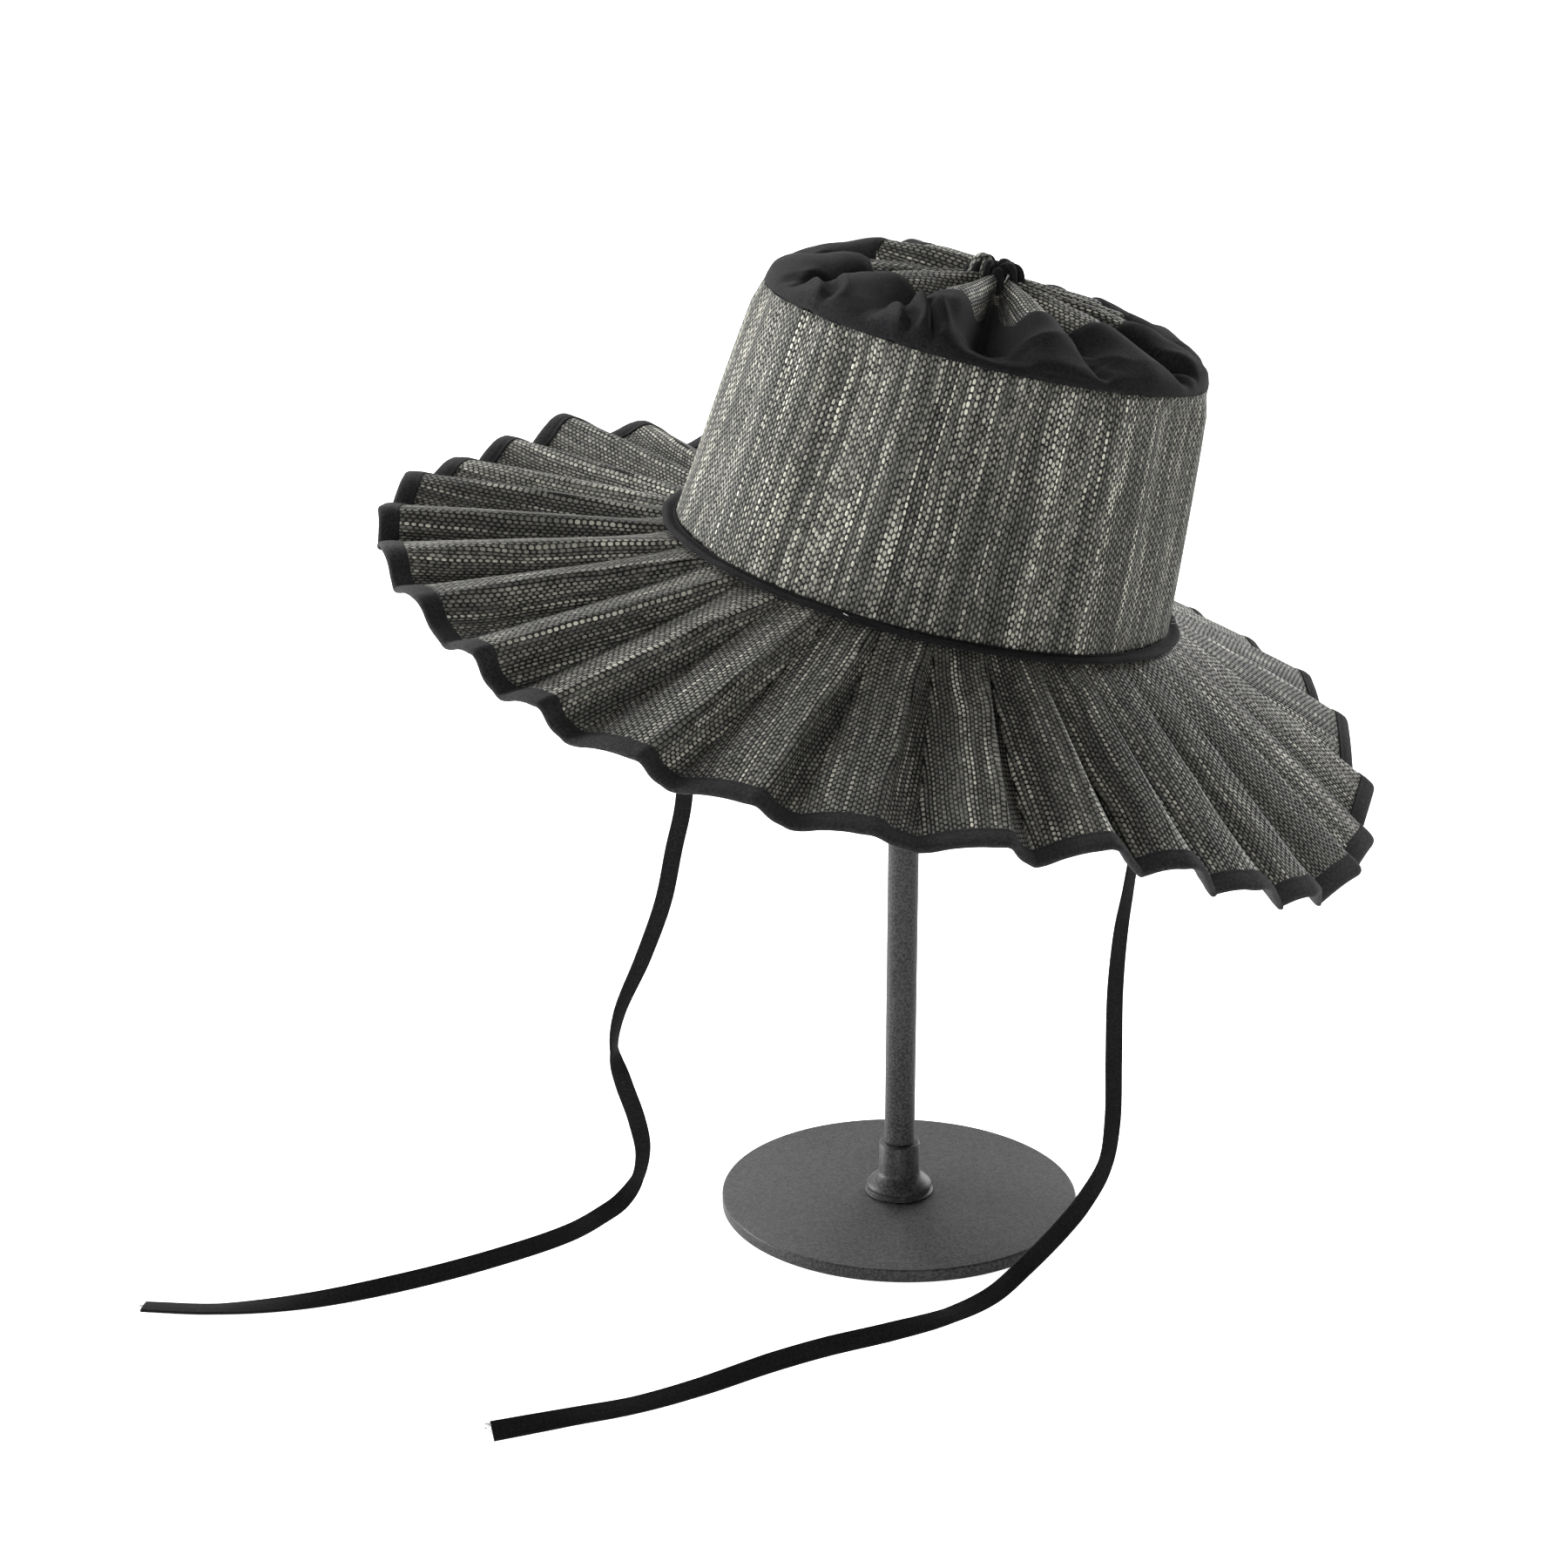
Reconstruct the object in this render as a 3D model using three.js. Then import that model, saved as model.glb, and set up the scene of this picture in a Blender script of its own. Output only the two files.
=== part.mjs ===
// A pleated straw sun hat with black bindings and two flat ties, on its plain display stand.
// Millimetres, +Z up. The origin is the middle of the stand's underside, -Y faces the viewer.
import * as THREE from 'three';

// Stand
const BASE_RADIUS = 68.8;
const BASE_THICKNESS = 5;
const BASE_BEVEL = 0.6;
const FLANGE_RADIUS = 12.6;
const FLANGE_HEIGHT = 8.6;
const FOOT_RING_RADIUS = 13.2;
const COLLAR_RADIUS = 7.8;
const COLLAR_HEIGHT = 11.5;
const COLLAR_BEVEL = 0.5;
const POLE_RADIUS = 5.8;
const HEAD_RADIUS = 40;
const HEAD_CENTRE_HEIGHT = 311.8;
const HEAD_UNDERSIDE_DROP = 8;

// Hat pose: how the hat sits on the stand, as it leans to the right and tips to the front
const HAT_BASE = new THREE.Vector3(5, 0, 250.3);
const HAT_LEAN_DEG = 13;
const HAT_TIP_DEG = 3.6;

// Crown
const CROWN_BASE_RADIUS = 90.7;
const CROWN_TOP_RADIUS = 79.9;
const CROWN_TOP_SHIFT = 1.6;
const CROWN_HEIGHT = 88.85;
const WALL = 1.6;
const CLOTH_WALL = 2;
const CROWN_FLUTES = 12;
const CROWN_FLUTE_DEPTH = 0.5;

// Brim
const BRIM_INNER_RADIUS = 88.9;
const BRIM_ROOT_RADIUS = 94.5;
const BRIM_LENGTH = 102.4;
const BRIM_WALL = 1.6;
const BRIM_BINDING_WIDTH = 7.8;
const BRIM_BINDING_WALL = 2.4;
const PLEAT_ROOT_DEPTH = 1.2;
const PLEAT_ROOT_SPREAD_DEG = 0.7;
const FACE_SWELL = 0.8;

// Seam binding, a flat bound flange round the foot of the crown
const SEAM_BINDING_RADIUS = 96.3;
const SEAM_BINDING_HEIGHT = 2.6;

// Ties
const TIE_WIDTH = 7;
const TIE_THICKNESS = 1.4;
const TIE_STEPS = 44;

const GAP = 0.3;
const PLEAT_COUNT = 32;
const FIRST_PLEAT_DEG = 2.2;

// One row for each brim pleat, counted round from the hat's right by way of its back. A pleat's
// crest and the valley behind it leave the seam together and reach the rim at these turns from
// the pleat's own angle, drooping by these angles below the plane of the seam.
const PLEATS = [
  { crestTurn: 1.3, crestDroop: 26.0, valleyTurn: 4.9, valleyDroop: 30.0 },
  { crestTurn: 5.2, crestDroop: 20.0, valleyTurn: 7.6, valleyDroop: 24.5 },
  { crestTurn: 4.0, crestDroop: 16.8, valleyTurn: 7.0, valleyDroop: 22.5 },
  { crestTurn: 3.5, crestDroop: 16.2, valleyTurn: 6.2, valleyDroop: 21.0 },
  { crestTurn: 1.5, crestDroop: 15.5, valleyTurn: 4.5, valleyDroop: 20.0 },
  { crestTurn: -1.0, crestDroop: 13.5, valleyTurn: 2.5, valleyDroop: 18.0 },
  { crestTurn: -2.5, crestDroop: 12.0, valleyTurn: 1.0, valleyDroop: 16.5 },
  { crestTurn: -4.0, crestDroop: 10.0, valleyTurn: -0.5, valleyDroop: 14.5 },
  { crestTurn: -5.5, crestDroop: 8.5, valleyTurn: -1.8, valleyDroop: 13.0 },
  { crestTurn: -7.0, crestDroop: 7.0, valleyTurn: -3.0, valleyDroop: 11.5 },
  { crestTurn: -8.0, crestDroop: 5.0, valleyTurn: -4.0, valleyDroop: 9.5 },
  { crestTurn: -9.0, crestDroop: 3.5, valleyTurn: -4.5, valleyDroop: 8.0 },
  { crestTurn: -10.0, crestDroop: 2.5, valleyTurn: -4.5, valleyDroop: 6.5 },
  { crestTurn: -8.5, crestDroop: 1.5, valleyTurn: -3.7, valleyDroop: 9.5 },
  { crestTurn: -10.3, crestDroop: 6.3, valleyTurn: -5.2, valleyDroop: 12.0 },
  { crestTurn: -11.3, crestDroop: 9.5, valleyTurn: -5.4, valleyDroop: 12.8 },
  { crestTurn: -10.0, crestDroop: 8.9, valleyTurn: -4.5, valleyDroop: 14.0 },
  { crestTurn: -7.0, crestDroop: 10.2, valleyTurn: -4.0, valleyDroop: 16.0 },
  { crestTurn: -4.0, crestDroop: 10.6, valleyTurn: 1.0, valleyDroop: 15.2 },
  { crestTurn: -3.2, crestDroop: 12.3, valleyTurn: 2.8, valleyDroop: 17.4 },
  { crestTurn: -3.1, crestDroop: 14.6, valleyTurn: 0.7, valleyDroop: 20.7 },
  { crestTurn: -4.9, crestDroop: 17.7, valleyTurn: -1.5, valleyDroop: 22.6 },
  { crestTurn: -4.4, crestDroop: 19.4, valleyTurn: -1.1, valleyDroop: 23.4 },
  { crestTurn: -3.9, crestDroop: 20.0, valleyTurn: -0.3, valleyDroop: 23.0 },
  { crestTurn: -4.3, crestDroop: 19.4, valleyTurn: 0.0, valleyDroop: 21.0 },
  { crestTurn: -3.4, crestDroop: 16.0, valleyTurn: -0.4, valleyDroop: 19.5 },
  { crestTurn: -5.3, crestDroop: 13.4, valleyTurn: -1.2, valleyDroop: 18.8 },
  { crestTurn: -7.6, crestDroop: 16.5, valleyTurn: -3.1, valleyDroop: 22.8 },
  { crestTurn: -8.2, crestDroop: 22.3, valleyTurn: -2.0, valleyDroop: 28.6 },
  { crestTurn: -7.0, crestDroop: 27.6, valleyTurn: -0.7, valleyDroop: 33.8 },
  { crestTurn: -2.8, crestDroop: 29.8, valleyTurn: 0.6, valleyDroop: 34.3 },
  { crestTurn: -1.6, crestDroop: 30.0, valleyTurn: 2.6, valleyDroop: 34.0 },
];

// One row for each fold of the gathered crown top: where its ridge runs, round from the right
const TOP_FOLDS = [
  { ridgeDeg: 10, height: 1.0 },
  { ridgeDeg: 37, height: 0.9 },
  { ridgeDeg: 62, height: 0.9 },
  { ridgeDeg: 90, height: 1.15 },
  { ridgeDeg: 121, height: 1.3 },
  { ridgeDeg: 149, height: 1.15 },
  { ridgeDeg: 178, height: 1.0 },
  { ridgeDeg: 219, height: 1.0 },
  { ridgeDeg: 252, height: 1.05 },
  { ridgeDeg: 285, height: 1.0 },
  { ridgeDeg: 316, height: 1.0 },
  { ridgeDeg: 345, height: 1.0 },
];

// The crown top in section, from the gather in the middle out to the seam on the wall: the
// height of a ridge and of the valley between two ridges at each radius
const TOP_SECTION = [
  { radius: 1, ridge: 109.0, valley: 108.0 },
  { radius: 11, ridge: 108.7, valley: 105.5 },
  { radius: 26, ridge: 107.2, valley: 100.5 },
  { radius: 46, ridge: 105.0, valley: 96.0 },
  { radius: 61, ridge: 101.8, valley: 95.0 },
  { radius: 71.5, ridge: 98.0, valley: 94.0 },
  { radius: 77.5, ridge: 94.4, valley: 92.4 },
  { radius: 79.9, ridge: 89.15, valley: 89.15 },
];
const TIP_BINDING_END = 11;
const TIP_END = 46;

// Ties: points along each, chosen by hand, and where the flat of the ribbon faces there. At 0
// swing and tilt it faces the viewer; swing turns it to the right, and tilt turns it up.
const LEFT_TIE = [
  { x: -77.5, y: -0.8, z: 278.5, swing: 90, tilt: 0 },
  { x: -77.9, y: -0.9, z: 269.0, swing: 85, tilt: 0 },
  { x: -79.4, y: -1.1, z: 240.0, swing: 60, tilt: 0 },
  { x: -81.0, y: -1.5, z: 205.0, swing: 40, tilt: 0 },
  { x: -82.1, y: -2.0, z: 162.5, swing: 25, tilt: 0 },
  { x: -86.0, y: -3.0, z: 143.4, swing: 20, tilt: 0 },
  { x: -90.2, y: -4.0, z: 123.0, swing: 20, tilt: 0 },
  { x: -98.1, y: -5.0, z: 100.6, swing: 30, tilt: 0 },
  { x: -107.4, y: -7.0, z: 78.3, swing: 55, tilt: 0 },
  { x: -109.4, y: -8.0, z: 64.3, swing: 75, tilt: 0 },
  { x: -106.1, y: -8.0, z: 51.0, swing: 20, tilt: 0 },
  { x: -101.2, y: -8.0, z: 35.7, swing: 10, tilt: 0 },
  { x: -98.9, y: -9.0, z: 23.1, swing: 40, tilt: 5 },
  { x: -100.9, y: -11.0, z: 12.6, swing: 60, tilt: 15 },
  { x: -106.3, y: -16.5, z: 5.8, swing: 50, tilt: 40 },
  { x: -113.5, y: -26.0, z: 3.6, swing: 35, tilt: 45 },
  { x: -124.0, y: -41.0, z: 3.3, swing: 30, tilt: 40 },
  { x: -151.0, y: -64.5, z: 3.2, swing: 30, tilt: 42 },
  { x: -182.0, y: -85.0, z: 3.1, swing: 25, tilt: 45 },
  { x: -211.0, y: -97.5, z: 2.2, swing: 15, tilt: 65 },
  { x: -241.0, y: -102.5, z: 1.0, swing: 10, tilt: 88 },
  { x: -268.0, y: -102.0, z: 0.9, swing: 5, tilt: 90 },
];
const RIGHT_TIE = [
  { x: 90.8, y: 0.8, z: 239.7, swing: 90, tilt: 0 },
  { x: 89.9, y: 1.1, z: 231.8, swing: 85, tilt: 0 },
  { x: 89.6, y: 0.6, z: 215.0, swing: 75, tilt: 0 },
  { x: 88.9, y: -0.6, z: 190.0, swing: 65, tilt: 0 },
  { x: 87.3, y: -2.4, z: 160.0, swing: 60, tilt: 0 },
  { x: 83.7, y: -6.0, z: 131.5, swing: 50, tilt: 0 },
  { x: 81.2, y: -10.0, z: 116.3, swing: 35, tilt: 0 },
  { x: 79.4, y: -16.0, z: 95.0, swing: 25, tilt: 0 },
  { x: 79.1, y: -24.0, z: 71.1, swing: 20, tilt: 0 },
  { x: 78.6, y: -34.0, z: 50.0, swing: 25, tilt: 10 },
  { x: 75.8, y: -42.0, z: 36.5, swing: 45, tilt: 25 },
  { x: 67.8, y: -50.0, z: 24.9, swing: 35, tilt: 40 },
  { x: 58.7, y: -57.5, z: 16.4, swing: 25, tilt: 50 },
  { x: 46.5, y: -67.0, z: 7.4, swing: 15, tilt: 50 },
  { x: 34.0, y: -82.5, z: 3.3, swing: 10, tilt: 50 },
  { x: 18.5, y: -96.5, z: 2.2, swing: 10, tilt: 68 },
  { x: -2.3, y: -111.0, z: 3.0, swing: 25, tilt: 45 },
  { x: -24.0, y: -123.0, z: 3.2, swing: 30, tilt: 42 },
  { x: -42.0, y: -134.5, z: 3.1, swing: 30, tilt: 45 },
  { x: -65.5, y: -151.0, z: 2.3, swing: 25, tilt: 62 },
  { x: -85.5, y: -163.0, z: 2.0, swing: 20, tilt: 68 },
  { x: -105.5, y: -172.0, z: 2.3, swing: 15, tilt: 62 },
  { x: -129.5, y: -183.5, z: 3.0, swing: 15, tilt: 45 },
];

const radians = THREE.MathUtils.degToRad;

const strawCloth = new THREE.MeshStandardMaterial({ color: 0x5f5f58, roughness: 0.85 });
const blackCloth = new THREE.MeshStandardMaterial({ color: 0x232323, roughness: 0.9 });
const blackPaint = new THREE.MeshStandardMaterial({ color: 0x3a3b3b, roughness: 0.55, metalness: 0.3 });

function mesh(name, geometry, material) {
  const piece = new THREE.Mesh(geometry, material);
  piece.name = name;
  return piece;
}

function polar(radius, angle, height) {
  return new THREE.Vector3(radius * Math.cos(angle), radius * Math.sin(angle), height);
}

// A point of the crown, whose middle moves to the right as it rises
function crownPoint(radius, angle, height) {
  const point = polar(radius, angle, height);
  point.x += CROWN_TOP_SHIFT * (height / CROWN_HEIGHT);
  return point;
}

// A closed sheet that runs all round the hat. Rows go from the hat's middle outwards and down;
// each row holds points round the hat, on the outer face and on the inner face.
function ringSheet(outer, inner) {
  const rows = outer.length;
  const around = outer[0].length;
  const positions = [...outer.flat(), ...inner.flat()].flatMap((point) => point.toArray());
  const outerAt = (row, column) => row * around + (column % around);
  const innerAt = (row, column) => rows * around + outerAt(row, column);
  const index = [];
  const quad = (a, b, c, d) => index.push(a, b, c, a, c, d);
  for (let column = 0; column < around; column += 1) {
    for (let row = 0; row < rows - 1; row += 1) {
      quad(outerAt(row, column), outerAt(row + 1, column),
        outerAt(row + 1, column + 1), outerAt(row, column + 1));
      quad(innerAt(row, column), innerAt(row, column + 1),
        innerAt(row + 1, column + 1), innerAt(row + 1, column));
    }
    quad(outerAt(0, column), outerAt(0, column + 1), innerAt(0, column + 1), innerAt(0, column));
    quad(outerAt(rows - 1, column), innerAt(rows - 1, column),
      innerAt(rows - 1, column + 1), outerAt(rows - 1, column + 1));
  }
  const geometry = new THREE.BufferGeometry();
  geometry.setAttribute('position', new THREE.Float32BufferAttribute(positions, 3));
  geometry.setIndex(index);
  return geometry;
}

// A solid turned about Z from a profile of [radius, height] points that starts and ends on the axis
function turned(profile, segments) {
  const points = profile.map(([radius, height]) => new THREE.Vector2(radius, height));
  const geometry = new THREE.LatheGeometry(points, segments);
  geometry.rotateX(Math.PI / 2);
  return geometry;
}

// Angles round the crown: a fixed set of steps inside each fold, close together in the valleys
const FOLD_STEPS = [0, 0.1, 0.28, 0.5, 0.72, 0.9];

function crownColumns() {
  const columns = [];
  TOP_FOLDS.forEach((fold, index) => {
    const before = TOP_FOLDS.at(index - 1);
    const after = TOP_FOLDS[(index + 1) % TOP_FOLDS.length];
    const ridge = fold.ridgeDeg;
    const start = (ridge + before.ridgeDeg - (index === 0 ? 360 : 0)) / 2;
    const end = (ridge + after.ridgeDeg + (index === TOP_FOLDS.length - 1 ? 360 : 0)) / 2;
    for (const step of FOLD_STEPS) {
      const angle = THREE.MathUtils.lerp(start, end, step);
      const rise = fold.height * Math.sin(Math.PI * step) ** 0.75;
      columns.push({ angle: radians(angle), rise });
    }
  });
  return columns;
}

// The inward normal of a section, from its neighbours along the section
function sectionNormal(section, index) {
  const before = section[Math.max(index - 1, 0)];
  const after = section[Math.min(index + 1, section.length - 1)];
  const alongRadius = after.radius - before.radius;
  const alongHeight = after.height - before.height;
  const length = Math.hypot(alongRadius, alongHeight);
  return { radius: alongHeight / length, height: -alongRadius / length };
}

// Part of the gathered crown top, between two radii of its section
function crownTopSheet(fromRadius, toRadius) {
  const heightAt = (radius, key) => {
    const next = TOP_SECTION.findIndex((row) => row.radius >= radius);
    if (next <= 0) return TOP_SECTION[0][key];
    const [a, b] = [TOP_SECTION[next - 1], TOP_SECTION[next]];
    return THREE.MathUtils.mapLinear(radius, a.radius, b.radius, a[key], b[key]);
  };
  const radii = [fromRadius];
  radii.push(...TOP_SECTION.map((row) => row.radius).filter((r) => r > fromRadius && r < toRadius));
  radii.push(toRadius);
  const section = radii.map((radius) => ({
    radius,
    ridge: heightAt(radius, 'ridge'),
    valley: heightAt(radius, 'valley'),
    height: (heightAt(radius, 'ridge') + heightAt(radius, 'valley')) / 2,
  }));
  const columns = crownColumns();
  const outer = section.map((row) => columns.map(({ angle, rise }) =>
    crownPoint(row.radius, angle, row.valley + rise * (row.ridge - row.valley))));
  const inner = section.map((row, index) => {
    const last = index === section.length - 1 && toRadius === CROWN_TOP_RADIUS;
    const normal = last ? { radius: -1, height: 0 } : sectionNormal(section, index);
    return columns.map(({ angle, rise }) => crownPoint(
      Math.max(row.radius + CLOTH_WALL * normal.radius, 0.5),
      angle,
      row.valley + rise * (row.ridge - row.valley) + CLOTH_WALL * normal.height,
    ));
  });
  return ringSheet(outer, inner);
}

// The straw wall of the crown, with the soft shallow flutes that the gathers leave in it
function crownWallSheet() {
  const columns = crownColumns();
  const stations = [CROWN_HEIGHT, 0.7 * CROWN_HEIGHT, 0.35 * CROWN_HEIGHT, GAP];
  const radiusAt = (height, angle) => {
    const share = height / CROWN_HEIGHT;
    const flute = CROWN_FLUTE_DEPTH * Math.sin(CROWN_FLUTES * angle) * Math.sin(Math.PI * share);
    return THREE.MathUtils.lerp(CROWN_BASE_RADIUS, CROWN_TOP_RADIUS, share) + flute;
  };
  const face = (inset) => stations.map((height) =>
    columns.map(({ angle }) => crownPoint(radiusAt(height, angle) - inset, angle, height)));
  return ringSheet(face(0), face(WALL));
}

function seamBindingRing() {
  const inner = CROWN_BASE_RADIUS + GAP;
  const bevel = 0.7;
  const profile = [
    [inner, GAP], [SEAM_BINDING_RADIUS, GAP],
    [SEAM_BINDING_RADIUS, GAP + SEAM_BINDING_HEIGHT - bevel],
    [SEAM_BINDING_RADIUS - bevel, GAP + SEAM_BINDING_HEIGHT],
    [inner, GAP + SEAM_BINDING_HEIGHT], [inner, GAP],
  ];
  return turned(profile, 64);
}

// A point on a pleat's crest or valley line, at a distance along the brim from its root
function pleatPoint(pleat, line, distance, lift) {
  const row = PLEATS[(pleat + PLEAT_COUNT) % PLEAT_COUNT];
  const foldDeg = FIRST_PLEAT_DEG + (360 / PLEAT_COUNT) * pleat;
  const share = Math.max(distance, 0) / BRIM_LENGTH;
  const isCrest = line === 'crest';
  const rootTurn = isCrest ? -PLEAT_ROOT_SPREAD_DEG : PLEAT_ROOT_SPREAD_DEG;
  const rimTurn = isCrest ? row.crestTurn : row.valleyTurn;
  const droop = radians(isCrest ? row.crestDroop : row.valleyDroop);
  const rim = polar(
    BRIM_ROOT_RADIUS + BRIM_LENGTH * Math.cos(droop),
    radians(foldDeg + rimTurn),
    -BRIM_LENGTH * Math.sin(droop),
  );
  const rootDepth = isCrest || distance < 0 ? 0 : PLEAT_ROOT_DEPTH;
  const root = polar(
    BRIM_ROOT_RADIUS + Math.min(distance, 0),
    radians(foldDeg + rootTurn),
    -BRIM_WALL / 2 - rootDepth,
  );
  const point = root.lerp(rim, share);
  point.z += lift;
  return point;
}

// Points round the brim at one distance from its root: each pleat's rising face, then its crest
function pleatRow(distance, lift) {
  const row = [];
  for (let pleat = 0; pleat < PLEAT_COUNT; pleat += 1) {
    const valley = pleatPoint(pleat - 1, 'valley', distance, lift);
    const crest = pleatPoint(pleat, 'crest', distance, lift);
    for (const share of [0, 0.35, 0.7]) {
      const point = valley.clone().lerp(crest, share);
      point.z += FACE_SWELL * Math.sin(Math.PI * share) * (Math.max(distance, 0) / BRIM_LENGTH);
      row.push(point);
    }
    row.push(crest);
  }
  return row;
}

function pleatedSheet(stations, wall) {
  const outer = stations.map((distance) => pleatRow(distance, wall / 2));
  const inner = stations.map((distance) => pleatRow(distance, -wall / 2));
  return ringSheet(outer, inner);
}

// A ribbon's path: a smooth curve through its points whose flat side faces as the table says
class RibbonPath extends THREE.CatmullRomCurve3 {
  constructor(rows) {
    super(rows.map(({ x, y, z }) => new THREE.Vector3(x, y, z)));
    this.facings = rows.map(({ swing, tilt }) => {
      const level = Math.cos(radians(tilt));
      return new THREE.Vector3(
        level * Math.sin(radians(swing)), -level * Math.cos(radians(swing)), Math.sin(radians(tilt)));
    });
  }

  facingAt(share) {
    const place = this.getUtoTmapping(share) * (this.facings.length - 1);
    const row = Math.min(Math.floor(place), this.facings.length - 2);
    return this.facings[row].clone().lerp(this.facings[row + 1], place - row);
  }

  computeFrenetFrames(segments) {
    const frames = { tangents: [], normals: [], binormals: [] };
    for (let step = 0; step <= segments; step += 1) {
      const tangent = this.getTangentAt(step / segments);
      const side = new THREE.Vector3().crossVectors(tangent, this.facingAt(step / segments)).normalize();
      frames.tangents.push(tangent);
      frames.normals.push(new THREE.Vector3().crossVectors(side, tangent));
      frames.binormals.push(side);
    }
    return frames;
  }
}

function ribbon(rows) {
  const halfWidth = TIE_WIDTH / 2;
  const halfThickness = TIE_THICKNESS / 2;
  const corner = 0.4;
  const section = new THREE.Shape([
    new THREE.Vector2(-halfThickness, corner - halfWidth),
    new THREE.Vector2(corner - halfThickness, -halfWidth),
    new THREE.Vector2(halfThickness - corner, -halfWidth),
    new THREE.Vector2(halfThickness, corner - halfWidth),
    new THREE.Vector2(halfThickness, halfWidth - corner),
    new THREE.Vector2(halfThickness - corner, halfWidth),
    new THREE.Vector2(corner - halfThickness, halfWidth),
    new THREE.Vector2(-halfThickness, halfWidth - corner),
  ]);
  return new THREE.ExtrudeGeometry(section, { steps: TIE_STEPS, extrudePath: new RibbonPath(rows) });
}

function standPieces() {
  const baseTop = BASE_THICKNESS;
  const base = turned([
    [0, 0], [BASE_RADIUS - BASE_BEVEL, 0], [BASE_RADIUS, BASE_BEVEL],
    [BASE_RADIUS, baseTop - BASE_BEVEL], [BASE_RADIUS - BASE_BEVEL, baseTop], [0, baseTop],
  ], 64);

  const flangeFoot = baseTop + GAP;
  const collarFoot = flangeFoot + FLANGE_HEIGHT;
  const collarTop = collarFoot + COLLAR_HEIGHT;
  const boss = turned([
    [0, flangeFoot], [FOOT_RING_RADIUS, flangeFoot], [FOOT_RING_RADIUS, flangeFoot + 0.6],
    [FLANGE_RADIUS - 0.4, flangeFoot + 0.8], [FLANGE_RADIUS - 0.4, flangeFoot + 2],
    [FLANGE_RADIUS, flangeFoot + 2.4], [FLANGE_RADIUS, flangeFoot + 3],
    [FLANGE_RADIUS - 1.7, flangeFoot + 4.9], [COLLAR_RADIUS + 0.9, flangeFoot + 6.7],
    [COLLAR_RADIUS, collarFoot], [COLLAR_RADIUS, collarTop - COLLAR_BEVEL],
    [COLLAR_RADIUS - COLLAR_BEVEL, collarTop], [0, collarTop],
  ], 32);

  const headFoot = HEAD_CENTRE_HEIGHT - HEAD_UNDERSIDE_DROP;
  const poleLength = headFoot - GAP - collarTop - GAP;
  const pole = new THREE.CylinderGeometry(POLE_RADIUS, POLE_RADIUS, poleLength, 24);
  pole.rotateX(Math.PI / 2);
  const poleMesh = mesh('stand_pole', pole, blackPaint);
  poleMesh.position.z = collarTop + GAP + poleLength / 2;

  const footRadius = Math.sqrt(HEAD_RADIUS ** 2 - HEAD_UNDERSIDE_DROP ** 2);
  const dome = [[0, headFoot], [footRadius - 2, headFoot]];
  for (let step = 0; step <= 8; step += 1) {
    const angle = radians(THREE.MathUtils.lerp(-10, 90, step / 8));
    dome.push([HEAD_RADIUS * Math.cos(angle), HEAD_CENTRE_HEIGHT + HEAD_RADIUS * Math.sin(angle)]);
  }
  dome.at(-1)[0] = 0;

  return [
    mesh('stand_base', base, blackPaint),
    mesh('stand_boss', boss, blackPaint),
    poleMesh,
    mesh('stand_head', turned(dome, 28), blackPaint),
  ];
}

function hatPieces() {
  const bindingStart = BRIM_LENGTH - BRIM_BINDING_WIDTH;
  const brimStations = [BRIM_INNER_RADIUS - BRIM_ROOT_RADIUS, 0, 22, 50, 75, bindingStart - GAP];
  const brim = pleatedSheet(brimStations, BRIM_WALL);
  const binding = pleatedSheet([bindingStart, BRIM_LENGTH], BRIM_BINDING_WALL);
  const bandStart = TIP_END + GAP;
  return [
    mesh('crown_wall', crownWallSheet(), strawCloth),
    mesh('crown_band', crownTopSheet(bandStart, CROWN_TOP_RADIUS), blackCloth),
    mesh('crown_tip', crownTopSheet(TIP_BINDING_END + GAP, TIP_END), strawCloth),
    mesh('tip_binding', crownTopSheet(TOP_SECTION[0].radius, TIP_BINDING_END), blackCloth),
    mesh('seam_binding', seamBindingRing(), blackCloth),
    mesh('brim', brim, strawCloth),
    mesh('brim_binding', binding, blackCloth),
  ];
}

function buildHat() {
  const hat = new THREE.Group();
  hat.add(...hatPieces());
  hat.position.copy(HAT_BASE);
  hat.rotation.set(radians(HAT_TIP_DEG), radians(HAT_LEAN_DEG), 0);
  return hat;
}

const part = new THREE.Group();
part.add(...standPieces());
part.add(buildHat());
part.add(mesh('tie_left', ribbon(LEFT_TIE), blackCloth));
part.add(mesh('tie_right', ribbon(RIGHT_TIE), blackCloth));

export default part;
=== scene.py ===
"""A pleated straw sun hat with black bindings and two long flat ties, on its plain display stand.

Blender works in metres with Z up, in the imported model's frame. The hat's own shapes are worked
out in millimetres, level and centred on the crown's foot, and then leaned as they sit on the stand.
"""
from __future__ import annotations

import logging
import math
from dataclasses import dataclass, field
from enum import Enum

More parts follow.
